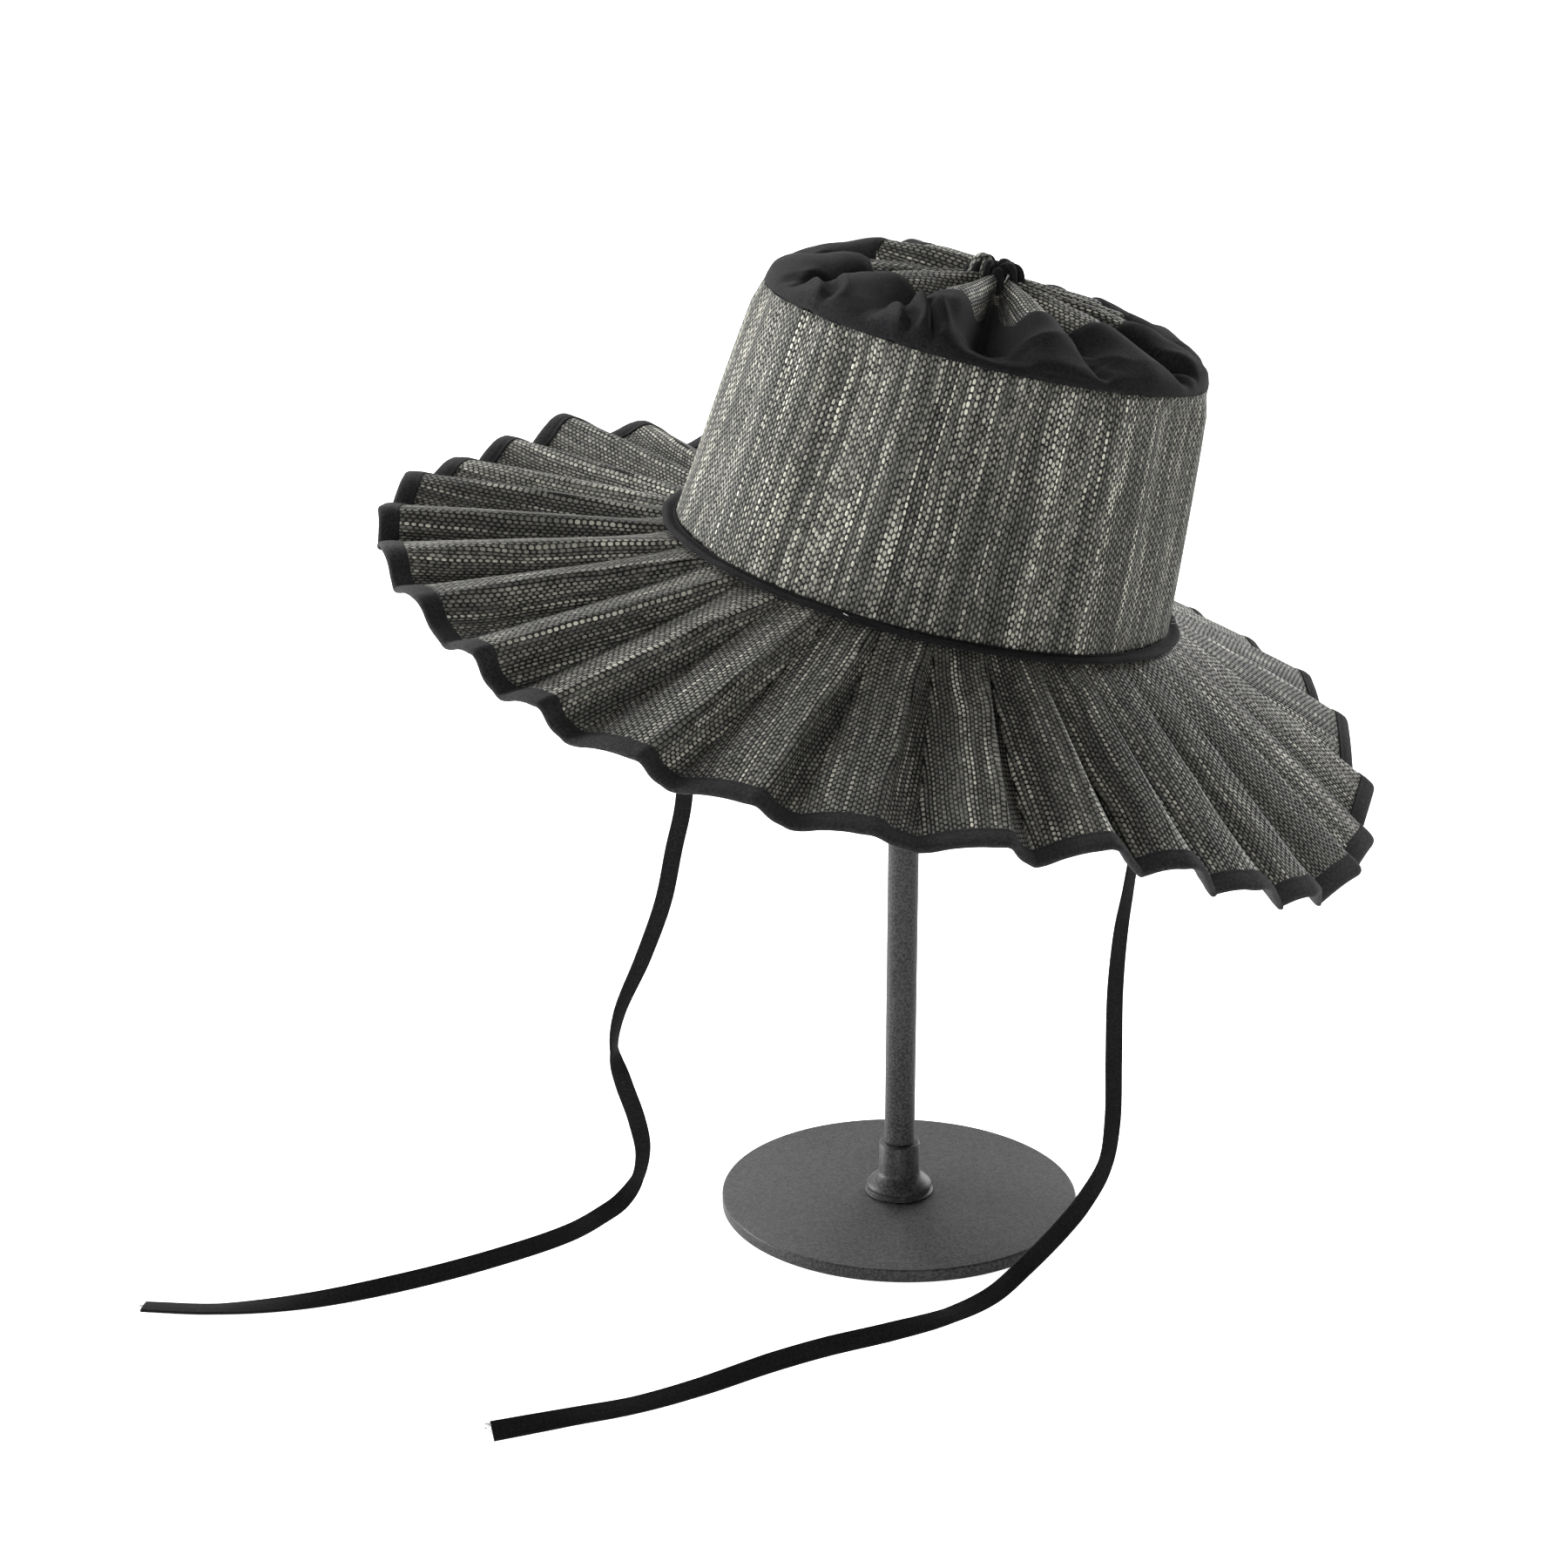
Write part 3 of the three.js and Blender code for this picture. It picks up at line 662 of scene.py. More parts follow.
# One row for each brim pleat, counted round from the hat's right by way of its back: how far its
# crest and the valley behind it turn on their way to the rim, and how far they droop, in degrees,
# and how far the next face still laps over the valley at the rim, in millimetres
PLEATS = np.array([
    # crest turn, crest droop, valley turn, valley droop, lap at the rim
    (1.3, 26.0, 4.9, 30.0, 3.0), (5.2, 20.0, 7.6, 24.5, 2.5), (4.0, 16.8, 7.0, 22.5, 2.2),
    (3.5, 16.2, 6.2, 21.0, 2.0), (1.5, 15.5, 4.5, 20.0, 1.5), (-1.0, 13.5, 2.5, 18.0, 1.5),
    (-2.5, 12.0, 1.0, 16.5, 1.0), (-4.0, 10.0, -0.5, 14.5, 1.0), (-5.5, 8.5, -1.8, 13.0, 0.8),
    (-7.0, 7.0, -3.0, 11.5, 0.8), (-8.0, 5.0, -4.0, 9.5, 0.8), (-9.0, 3.5, -4.5, 8.0, 0.8),
    (-10.0, 2.5, -4.5, 6.5, 1.0), (-8.5, 1.5, -3.7, 9.5, 1.2), (-10.3, 6.3, -5.2, 12.0, 1.5),
    (-11.3, 9.5, -5.4, 12.8, 1.5), (-10.0, 8.9, -4.5, 14.0, 1.8), (-7.0, 10.2, -4.0, 16.0, 2.0),
    (-4.0, 10.6, 1.0, 15.2, 1.0), (-3.2, 12.3, 2.8, 17.4, 0.2), (-3.1, 14.6, 0.7, 20.7, 0.0),
    (-4.9, 17.7, -1.5, 22.6, 0.0), (-4.4, 19.4, -1.1, 23.4, 0.0), (-3.9, 20.0, -0.3, 23.0, 0.0),
    (-4.3, 19.4, 0.0, 21.0, 0.0), (-3.4, 16.0, -0.4, 19.5, 0.2), (-5.3, 13.4, -1.2, 18.8, 1.0),
    (-7.6, 16.5, -3.1, 22.8, 2.0), (-8.2, 22.3, -2.0, 28.6, 3.2), (-7.0, 27.6, -0.7, 33.8, 3.8),
    (-2.8, 29.8, 0.6, 34.3, 3.8), (-1.6, 30.0, 2.6, 34.0, 3.6),
])


@dataclass
class Brim:
    """The pleated straw brim and the black binding round its rim."""

    place: HatPlace = field(default_factory=HatPlace)
    inner_radius: float = 88.9
    root_radius: float = 94.5
    length: float = 102.4
    wall: float = 1.2
    middle_drop: float = 0.8
    binding_width: float = 7.8
    root_depth: float = 1.2
    root_spread_deg: float = 0.7
    first_pleat_deg: float = 2.2
    face_swell: float = 0.8
    samples: int = 3
    cloth_step: float = 38.0

    def fold_line(self, distance: np.ndarray, crest: bool) -> np.ndarray:
        """Points of every pleat's crest or valley line at distances out from the seam.

        Args:
            distance: millimetres from the brim's root, below 0 under the crown.
            crest: True for the crest, False for the valley behind it.

        Returns:
            rows of distances, pleats, and x, y, z in millimetres.
        """
        turn, droop = PLEATS[:, 0 if crest else 2], np.radians(PLEATS[:, 1 if crest else 3])
        fold = self.first_pleat_deg + 360 / len(PLEATS) * np.arange(len(PLEATS))
        rim = polar(self.root_radius + self.length * np.cos(droop), np.radians(fold + turn),
                    -self.length * np.sin(droop))
        distance = np.asarray(distance, float)[:, None]
        side = -self.root_spread_deg if crest else self.root_spread_deg
        depth = self.middle_drop + (0 if crest else self.root_depth) * np.clip(
            1 + distance / 4, 0, 1)
        root = polar(self.root_radius + np.minimum(distance, 0), np.radians(fold + side)[None],
                     -depth)
        share = (np.maximum(distance, 0) / self.length)[..., None]
        return root + (rim[None] - root) * share

    def surface(self, distance: np.ndarray) -> np.ndarray:
        """The brim's middle surface, with rounded crests and valleys.

        Args:
            distance: millimetres from the brim's root, one for each row.

        Returns:
            rows, points round the brim, and x, y, z in millimetres.
        """
        crest, valley = self.fold_line(distance, True), self.fold_line(distance, False)
        share = np.clip(np.asarray(distance) / self.length, 0, 1)[:, None, None]
        under = np.clip(1 + np.asarray(distance) / 3, 0, 1)[:, None, None]
        hump = np.sin(np.pi * share) ** 0.6 * under
        at_rim = PLEATS[None, :, 4:5]
        lap = under * (1.5 + 2.4 * hump) * (1 - share**3) + at_rim * share**2
        tuck = under * (1.8 + 2.4 * hump) * (1 - share**3) + 0.6 * at_rim * share**2
        box = share * np.clip(at_rim / 1.5, 0, 1)
        steep = hump * 0.8
        up = np.array([0, 0, 1.0])
        way = unit((valley - crest) * (1, 1, 0))
        edge = valley - up * 2.2 * hump * (1 - 0.5 * share)
        crest = crest + up * 1.1 * hump
        start = np.roll(edge, 1, 1)
        face = crest - start
        easy = np.clip(1 - lap / 1.6, 0, 1) * share
        easy_start = np.roll(easy, 1, 1)
        near = 0.75 / np.linalg.norm(face, axis=2, keepdims=True)
        swell = self.face_swell * (share + 0.8 * hump)
        rows = [start + face * 0.09 * easy_start,
                start + face * (near + (0.2 - near) * easy_start)]
        for part in (0.32, 0.52, 0.72):
            rows.append(start + face * part + up * swell * math.sin(math.pi * part))
        rows += [crest - face * (0.05 + 0.08 * share), crest]
        bottom = edge + way * lap - up * tuck
        fall = bottom - crest
        level, drop = fall * (1, 1, 0), fall * (0, 0, 1)
        rows += [crest + level * (0.24 + 0.2 * box - 0.24 * steep) + drop * (0.2 - 0.08 * box),
                 crest + level * (0.52 + 0.26 * box - 0.5 * steep)
                 + drop * (0.66 - 0.06 * box + 0.1 * steep),
                 bottom - fall * 0.2 * easy,
                 edge + way * lap * 0.55 - up * tuck * 0.55 - fall * 0.03 * easy]
        ring = np.stack(rows, 2).reshape(len(crest), -1, 3)
        return self.rounded(ring)

    def rounded(self, ring: np.ndarray) -> np.ndarray:
        """Rounds the corners of closed rows of points as a stiff cloth rounds them.

        Args:
            ring: rows, points round, and x, y, z.

        Returns:
            rows with more points on a smooth line near the given ones.
        """
        share = np.arange(self.samples)[None, None, :, None] / self.samples
        a, b, c, d = (np.roll(ring, 1 - i, 1)[:, :, None, :] for i in range(4))
        line = ((1 - share) ** 3 * a + (3 * share**3 - 6 * share**2 + 4) * b
                + (-3 * share**3 + 3 * share**2 + 3 * share + 1) * c + share**3 * d) / 6
        return line.reshape(len(ring), -1, 3)

    def cloth_map(self, points: np.ndarray) -> np.ndarray:
        """Lays the weave along each pleat's crest line.

        Args:
            points: the brim's rows in millimetres.

        Returns:
            for each quad's corners, the place on the flat cloth in metres.
        """
        lines = self.fold_line(np.array([0.0, self.length]), True)
        start, way = lines[0], unit(lines[1] - lines[0])
        beside = np.cross([0, 0, 1.0], way)
        columns = points.shape[1]
        pleat = ((np.arange(columns) + self.samples) * len(PLEATS) // columns) % len(PLEATS)
        corners = []
        for row_shift, column_shift in ((0, 0), (1, 0), (1, 1), (0, 1)):
            grid = np.roll(points, -column_shift, 1)
            grid = grid[row_shift : len(points) - 1 + row_shift]
            offset = grid - start[pleat]
            along = (offset * way[pleat]).sum(-1)
            away = offset - along[..., None] * way[pleat]
            side = np.sign((away * beside[pleat]).sum(-1))
            across = np.linalg.norm(away, axis=-1) * side + pleat * self.cloth_step
            corners.append(np.stack([across, along], -1))
        return np.stack(corners, 2) * MM

    def build_straw(self) -> bpy.types.Object:
        """Builds the pleated straw."""
        under = np.array([self.inner_radius - self.root_radius, -2.5])
        distance = np.concatenate([under, np.linspace(0, self.length - 1.5, 32)])
        points = self.surface(distance)
        brim = grid_piece("pleated_brim", self.place.set_down(points),
                          cloth=self.cloth_map(points))
        give_wall(brim, self.wall, 0)
        smooth(brim)
        # The brim's lighter straw tones are painted light.
        return settle(brim, BRIM_STRAW_PAINTED_LIGHT, Slot.STRAW, "brim")

    def build_binding(self) -> bpy.types.Object:
        """Builds the cloth that is folded over the rim."""
        inner = self.length - self.binding_width
        shape = ((0.0, 0.70), (0.35, 1.0), (1.1, 1.05), (1.5, 0.92), (2.2, 1.12), (3.6, 1.25),
                 (5.2, 1.2), (6.5, 1.1), (7.3, 0.75), (7.8, 0.0))
        distance = np.array([inner + d for d, _ in shape])
        middle = self.surface(distance)
        normal = -grid_normals(middle)
        rise = np.array([h for _, h in shape])[:, None, None]
        top, below = middle + normal * rise, (middle - normal * rise)[-2:0:-1]
        rows = np.concatenate([top, below, middle[:1] - normal[:1] * rise[:1]])
        binding = grid_piece("rim_binding", self.place.set_down(rows), tube=True)
        smooth(binding)
        # The binding's lighter cloth is painted light.
        return settle(binding, BINDING_CLOTH_PAINTED_LIGHT, Slot.CLOTH, "brim_binding")

    def build(self) -> None:
        """Builds the brim and its binding."""
        straw = self.build_straw()
        binding = self.build_binding()


# One row for each fold of the gathered crown top: where its ridge runs, round from the right, how
# high it stands beside the others, and how far it fills its room before and after the ridge
TOP_FOLDS = np.array([
    (10, 1.0, 0.95, 0.9), (37, 0.95, 0.9, 0.95), (62, 0.9, 0.9, 0.95), (90, 1.15, 0.95, 0.9),
    (121, 1.35, 0.9, 0.95), (154, 1.4, 0.9, 0.85), (184, 0.9, 0.9, 0.95), (219, 1.0, 0.95, 0.9),
    (252, 1.1, 0.95, 0.66), (285, 1.05, 0.66, 0.9), (316, 1.0, 0.85, 0.9), (345, 1.0, 0.9, 0.9),
])

# Small tucks that the seam leaves in the black cloth: where each starts and ends, as angle and
# radius, how deep it is and how wide
TUCKS = np.array([
    (239, 60, 248, 79.3, 4.8, 2.0), (246, 57, 254, 79.3, 5.2, 1.8), (205, 62, 223, 79, 3.8, 2.2),
    (332, 58, 338, 78, 2.6, 2.6), (24, 60, 18, 78, 2.6, 2.6), (300, 66, 297, 78.5, 1.2, 2.8),
    (50, 60, 52, 78, 2.2, 2.6), (76, 60, 73, 78, 2.4, 2.4), (104, 60, 108, 78, 2.4, 2.6),
    (140, 60, 136, 78, 2.2, 2.4), (168, 58, 171, 78, 2.4, 2.4), (201, 60, 206, 78, 2.2, 2.6),
    (356, 66, 0, 78.5, 1.4, 2.4), (278, 68, 276, 79, 1.0, 2.4),
])

# The crown top in section from the gather out to the seam: radius, ridge height, valley height
TOP_SECTION = np.array([
    (1.0, 109.0, 107.5), (11.0, 108.7, 103.2), (26.0, 107.2, 97.5), (46.0, 105.0, 94.6),
    (61.0, 101.8, 94.6), (71.5, 98.0, 94.0), (77.5, 94.4, 92.4), (79.9, 89.15, 89.15),
])


@dataclass
class Crown:
    """The straw wall of the crown, its gathered top and the bindings."""

    place: HatPlace = field(default_factory=HatPlace)
    foot_radius: float = 90.7
    top_radius: float = 79.9
    top_shift: float = 1.6
    height: float = 88.85
    wall: float = 1.3
    cloth_wall: float = 1.4
    fold_samples: int = 44
    cloth_step: float = 44.0
    knot_radius: float = 11.0
    straw_end: float = 46.0

    def shifted(self, points: np.ndarray) -> np.ndarray:
        """Moves points to the right as they rise, as the crown's middle does."""
        moved = points.copy()
        moved[..., 0] += self.top_shift * points[..., 2] / self.height
        return moved

    def build_wall(self) -> None:
        """Builds the upright straw wall with its soft flutes."""
        columns = 384
        angle = np.linspace(0, 2 * np.pi, columns, endpoint=False)[None]
        share = np.linspace(1, 0.003, 42)[:, None]
        around = polar(86.0, angle, 21.5 * share)
        flute = wave_noise(around, 27, 11) * 1.6 + wave_noise(around, 13, 12) * 0.7
        flute = flute + 1.5 * np.cos(9 * (angle - np.radians(222)))
        pucker = wave_noise(around, 9, 13) * 0.45 * np.clip((share - 0.6) / 0.4, 0, 1) ** 2
        radius = self.foot_radius + (self.top_radius - self.foot_radius) * share
        radius = radius + flute * (0.35 + 0.65 * share) * np.clip((1.02 - share) * 9, 0, 1)
        radius = radius + pucker - 0.1
        points = self.shifted(polar(radius, angle, share * self.height))
        wall = grid_piece("crown_side", self.place.set_down(points))
        give_wall(wall, self.wall, -1)
        smooth(wall)
        settle(wall, STRAW, Slot.STRAW, "crown_wall")

    def fold_columns(self) -> tuple[np.ndarray, np.ndarray, np.ndarray]:
        """Angles round the crown top, how far off its ridge each lies, and how tall that is.

        Returns:
            angles in radians, 0 on a ridge to 1 in a valley, and the fold's height.
        """
        ridge = TOP_FOLDS[:, 0]
        start = (ridge + np.concatenate([[ridge[-1] - 360], ridge[:-1]])) / 2
        end = (ridge + np.concatenate([ridge[1:], [ridge[0] + 360]])) / 2
        even = np.arange(self.fold_samples) / self.fold_samples
        step = even - 0.09 * np.sin(2 * np.pi * even)
        angle = start[:, None] + (end - start)[:, None] * step[None]
        off = angle - ridge[:, None]
        half = np.where(off < 0, (ridge - start)[:, None] * TOP_FOLDS[:, 2:3],
                        (end - ridge)[:, None] * TOP_FOLDS[:, 3:4])
        height = np.repeat(TOP_FOLDS[:, 1], self.fold_samples)
        return np.radians(angle.ravel()), np.clip(np.abs(off / half), 0, 1).ravel(), height

    def seam_pull(self) -> np.ndarray:
        """How far in from its usual radius the straw ends at each column, in millimetres; at the
        front valley the straw ends far in, so the black drape fills the hollow as painted shade.
        """
        angle, off, _ = self.fold_columns()
        # Front valley: here the black drape stands in for the deep shade in the hollow, as painted
        # shade.
        open_valley = np.exp(-(((np.degrees(angle) - 268.5) / 6.8) ** 6))
        return (4 * off**4 + 29 * open_valley)[None]

    def top_surface(self, radius: np.ndarray) -> np.ndarray:
        """The outer face of the gathered top.

        Args:
            radius: the radius of each point, in rows and columns round.

        Returns:
            rows, points round, and x, y, z in millimetres.
        """
        angle, off, tall = self.fold_columns()
        fine = through(TOP_SECTION, 40)
        ridge, valley = (np.interp(radius, fine[:, 0], fine[:, i]) for i in (1, 2))
        inner = np.clip((62 - radius) / 20, 0, 1)
        rise = tall * (1 - off[None] ** (2.0 + 0.5 * inner)) ** (0.95 - 0.35 * inner)
        turn = np.degrees(angle)[None]
        open_valley = np.exp(-(((turn - 268) / 8) ** 2)) * np.exp(-(((radius - 43) / 24) ** 2))
        open_valley = open_valley * np.clip((self.top_radius - radius) / 8, 0, 1)
        height = valley + rise * (ridge - valley) - 11 * open_valley
        return self.shifted(polar(radius, angle[None], height))

    def tucked(self, points: np.ndarray) -> np.ndarray:
        """Presses the small tucks into the black cloth.

        Args:
            points: rows of the cloth in millimetres.

        Returns:
            the rows with a groove between two soft shoulders at each tuck.
        """
        plan = points[..., :2].copy()
        plan[..., 0] -= self.top_shift
        for turn_a, radius_a, turn_b, radius_b, depth, width in TUCKS:
            start = radius_a * np.array([math.cos(math.radians(turn_a)),
                                         math.sin(math.radians(turn_a))])
            way = radius_b * np.array([math.cos(math.radians(turn_b)),
                                       math.sin(math.radians(turn_b))]) - start
            reach = np.linalg.norm(way)
            way /= reach
            share = np.clip(((plan - start) @ way) / reach, 0, 1)
            bow = 1.4 * np.sin(2 * np.pi * share)
            off = (plan - start) @ np.array([-way[1], way[0]]) + bow
            groove = np.exp(-((off / width) ** 2))
            shoulders = sum(np.exp(-(((off - side * 1.9 * width) / (1.1 * width)) ** 2))
                            for side in (-1, 1))
            points[..., 2] += depth * np.sin(np.pi * share) ** 0.7 * (0.45 * shoulders - groove)
        return points

    def section(self, start: float, end: float, rows: int) -> np.ndarray:
        """Radii across part of the crown top, evenly spaced along its smooth section.

        Args:
            start: the first radius.
            end: the last radius.
            rows: how many rows.

        Returns:
            one radius for each row.
        """
        fine = through(TOP_SECTION, 40)
        run = np.concatenate([[0], np.cumsum(np.linalg.norm(np.diff(fine, axis=0), axis=1))])
        near = [int(np.argmin(np.abs(fine[:, 0] - r))) for r in (start, end)]
        if end >= TOP_SECTION[-1, 0]:
            near[1] = len(fine) - 1
        at = np.linspace(run[near[0]], run[near[1]], rows)
        return np.interp(at, run, fine[:, 0])[:, None]

    def fold_map(self, points: np.ndarray) -> np.ndarray:
        """Lays the weave along each fold's ridge, with the radius as the way down it.

        Args:
            points: rows of the top in millimetres.

        Returns:
            for each quad's corners, the place on the flat cloth in metres.
        """
        columns = points.shape[1]
        middle = np.arange(len(TOP_FOLDS)) * self.fold_samples + self.fold_samples // 2
        ring = np.concatenate([points, points[:, :1]], 1)
        across = np.concatenate([np.zeros((len(points), 1)), np.cumsum(
            np.linalg.norm(np.diff(ring, axis=1), axis=2), 1)], 1)
        fold = np.arange(columns) // self.fold_samples
        level = ring[..., :2] - self.top_shift * ring[..., 2:] / self.height * (1, 0)
        down = np.linalg.norm(level, axis=2)
        corners = []
        for row_shift, column_shift in ((0, 0), (1, 0), (1, 1), (0, 1)):
            rows = slice(row_shift, len(points) - 1 + row_shift)
            here = across[rows][:, np.arange(columns) + column_shift]
            u = here - across[rows][:, middle[fold]] + fold * self.cloth_step
            v = down[rows][:, np.arange(columns) + column_shift]
            corners.append(np.stack([u, v], -1))
        return np.stack(corners, 2) * MM

    def build_tip(self) -> None:
        """Builds the gathered straw in the middle of the top."""
        start, end = self.knot_radius - 2, self.straw_end + 1
        radius = self.section(start, end, 40)
        radius = start + (radius - start) * (end - start - self.seam_pull()) / (end - start)
        points = self.top_surface(radius)
        points[..., 2] += 0.3 * wave_noise(points, 12, 21)
        tip = grid_piece("gathered_straw", self.place.set_down(points),
                         cloth=self.fold_map(points))
        give_wall(tip, self.cloth_wall, -1)
        smooth(tip)
        settle(tip, STRAW, Slot.STRAW, "crown_tip")

    def build_band(self) -> None:
        """Builds the black cloth that drapes from the straw folds down to the seam; at the front
        valley it reaches in close to the gather, as painted shade.
        """
        radius = self.section(self.straw_end, self.top_radius, 64)
        to_seam = (self.top_radius - radius) / (self.top_radius - self.straw_end)
        points = self.top_surface(radius - self.seam_pull() * to_seam**1.5)
        share = np.linspace(0, 1, len(radius))[:, None]
        soft = wave_noise(points, 22, 31) * 0.9 + wave_noise(points, 9, 32) * 0.35
        soft = soft + 1.5 * (0.35 - np.abs(wave_noise(points, 19, 33)))
        points[..., 2] += soft * np.sin(np.pi * np.clip(share, 0, 1)) ** 0.6
        points = self.tucked(points)
        points[..., 2] += 0.8 * np.clip(share * 14, 0, 1)
        points[-1, :, 2] -= 0.9
        band = grid_piece("crown_drape", self.place.set_down(points))
        give_wall(band, self.cloth_wall, -1)
        smooth(band)
        settle(band, BLACK_CLOTH, Slot.CLOTH, "crown_band")

    def build_knot(self) -> None:
        """Builds the small twist of black cloth in the middle of the gathers."""
        rng = np.random.default_rng(51)
        petals = []
        for turn in np.arange(0, 360, 30):
            petals.append((turn + rng.uniform(-8, 8), rng.uniform(10.5, 13.5),
                           rng.uniform(109.6, 112.4), rng.uniform(1.3, 2.3)))
        knot = self.build_petals("gather_twist", petals)
        settle(knot, BLACK_CLOTH, Slot.CLOTH, "tip_binding")
        curl = self.build_petals("straw_curl", [(200, 10.5, 113.2, 2.4), (228, 10.0, 112.0, 1.5)])
        settle(curl, STRAW, Slot.STRAW)

    def build_plug(self) -> None:
        """Builds the small disc of cloth that closes the top under the twist."""
        angle = np.linspace(0, 2 * np.pi, 48, endpoint=False)[None]
        radius = np.linspace(0.2, 14, 11)[:, None]
        front = np.exp(-(((np.degrees(angle) - 268) / 10) ** 2))
        height = 106.6 - 0.42 * radius - 2.6 * front * (radius / 14) ** 2
        points = self.shifted(polar(radius, angle, height))
        plug = grid_piece("gather_plug", self.place.set_down(points))
        give_wall(plug, 0.8, -1)
        smooth(plug)
        settle(plug, BLACK_CLOTH, Slot.CLOTH)

    def build_petals(self, name: str, petals: list[tuple[float, ...]]) -> bpy.types.Object:
        """Builds the small humps of cloth that the gather pinches up round the middle.

        Args:
            name: the piece's name.
            petals: each hump's angle, reach, height and half width.

        Returns:
            the piece.
        """
        verts, faces, cloth = [], [], []
        for turn, reach, top, half in petals:
            side = math.radians(turn)
            row = np.array([(0.8, side - 0.2, 105.5), (0.34 * reach, side, top - 0.3),
                            (0.7 * reach, side + 0.1, top), (reach, side + 0.2, 105.0)])
            line = through(polar(row[:, 0], row[:, 1], row[:, 2]), 7)
            share = np.linspace(0, 1, len(line))[:, None]
            swell = np.sin(np.pi * (0.06 + 0.88 * share)) ** 0.6
            ahead = unit(np.gradient(line, axis=0))
            across = unit(np.cross(ahead, [0, 0, 1.0]))
            lift = np.cross(across, ahead)
            ring = np.linspace(0, 2 * np.pi, 14, endpoint=False)
            tube = (line[:, None] + across[:, None] * (half * swell * np.cos(ring))[..., None]
                    + lift[:, None] * (1.15 * swell * np.sin(ring))[..., None])
            tube = self.shifted(tube) - (2.6, 0, 0)
            quads = grid_faces(len(line), len(ring)) + sum(len(v) for v in verts)
            verts.append(tube.reshape(-1, 3))
            faces.append(quads)
            cloth.append(flat_cloth(tube * MM).reshape(-1, 2))
        piece = new_piece(name, self.place.set_down(np.concatenate(verts)),
                          np.concatenate(faces))
        lay_cloth(piece, np.concatenate(cloth))
        close_ends(piece)
        smooth(piece)
        return piece

    def build_flange(self) -> None:
        """Builds the bound seam that lies round the foot of the crown."""
        shape = ((91.0, 0.35), (91.05, 1.5), (91.45, 2.3), (91.9, 1.7), (92.6, 1.55),
                 (93.4, 1.95), (94.6, 2.0), (95.5, 1.8), (96.0, 1.4), (96.1, 0.9), (95.8, 0.4),
                 (94.0, 0.25))
        angle = np.linspace(0, 2 * np.pi, 420, endpoint=False)[None]
        around = np.stack([np.cos(angle), np.sin(angle)], -1) * 94
        radius = np.array([r for r, _ in shape])[:, None]
        height = np.array([h for _, h in shape])[:, None]
        out = np.clip((radius - 91) / 5, 0, 1)
        up = np.clip(height / 2.6, 0, 1)
        radius = radius + out * 0.35 * wave_noise(around, 16, 41)
        height = height + up * out * 0.3 * wave_noise(around, 11, 42)
        flange = grid_piece("seam_flange", self.place.set_down(polar(radius, angle, height)),
                            tube=True)
        mesh_outwards(flange)
        smooth(flange)
        settle(flange, BLACK_CLOTH, Slot.CLOTH, "seam_binding")

    def build_seam_threads(self) -> None:
        """Builds the three bits of loose pale thread on the seam."""
        share = np.linspace(0, 1, 7)[:, None]
        lines = []
        for turn, radius, height, run in ((253.6, 95.2, 2.4, (1.6, -2.6, 0.2)),
                                          (357.0, 92.4, 2.6, (1.2, -1.6, 1.0)),
                                          (0.5, 93.2, 2.6, (1.6, -1.2, 0.9))):
            start = polar(radius, math.radians(turn), height)
            lines.append(self.place.set_down(start + np.array(run) * share) / MM)
        settle(strand_piece("seam_threads", lines), RAW_THREAD, Slot.CLOTH)

    def build(self) -> None:
        """Builds the whole crown."""
        self.build_flange()
        self.build_seam_threads()
        self.build_wall()
        self.build_band()
        self.build_tip()
        self.build_knot()
        self.build_plug()


def strand_piece(name: str, lines: list[np.ndarray]) -> bpy.types.Object:
    """Makes one piece of short loose threads that thin towards their ends.

    Args:
        name: the piece's name.
        lines: the points along each thread, in millimetres.

    Returns:
        the piece.
    """
    verts, faces = [], []
    turn = np.linspace(0, 2 * np.pi, 5, endpoint=False)
    for line in lines:
        ahead = line[-1] - line[0]
        side = unit(np.cross(ahead, (0.3, 0.2, 1.0)))
        up = unit(np.cross(side, ahead))
        ring = np.cos(turn)[:, None] * side + np.sin(turn)[:, None] * up
        thick = 0.16 * (1 - 0.6 * np.linspace(0, 1, len(line)))[:, None, None]
        faces.append(grid_faces(len(line), 5) + sum(len(v) for v in verts))
        verts.append((line[:, None] + ring[None] * thick).reshape(-1, 3))
    piece = new_piece(name, np.concatenate(verts) * MM, np.concatenate(faces))
    piece.data.uv_layers.new(name="cloth")
    close_ends(piece)
    smooth(piece)
    return piece


def close_ends(piece: bpy.types.Object) -> None:
    """Closes the open ends of a piece and turns its faces outwards."""
    choose(piece)
    bpy.ops.object.mode_set(mode="EDIT")
    bpy.ops.mesh.select_all(action="DESELECT")
    bpy.ops.mesh.select_non_manifold()
    bpy.ops.mesh.fill_holes(sides=0)
    bpy.ops.object.mode_set(mode="OBJECT")
    mesh_outwards(piece)


def mesh_outwards(piece: bpy.types.Object) -> None:
    """Turns the faces of a closed piece outwards."""
    choose(piece)
    bpy.ops.object.mode_set(mode="EDIT")
    bpy.ops.mesh.select_all(action="SELECT")
    bpy.ops.mesh.normals_make_consistent(inside=False)
    bpy.ops.object.mode_set(mode="OBJECT")


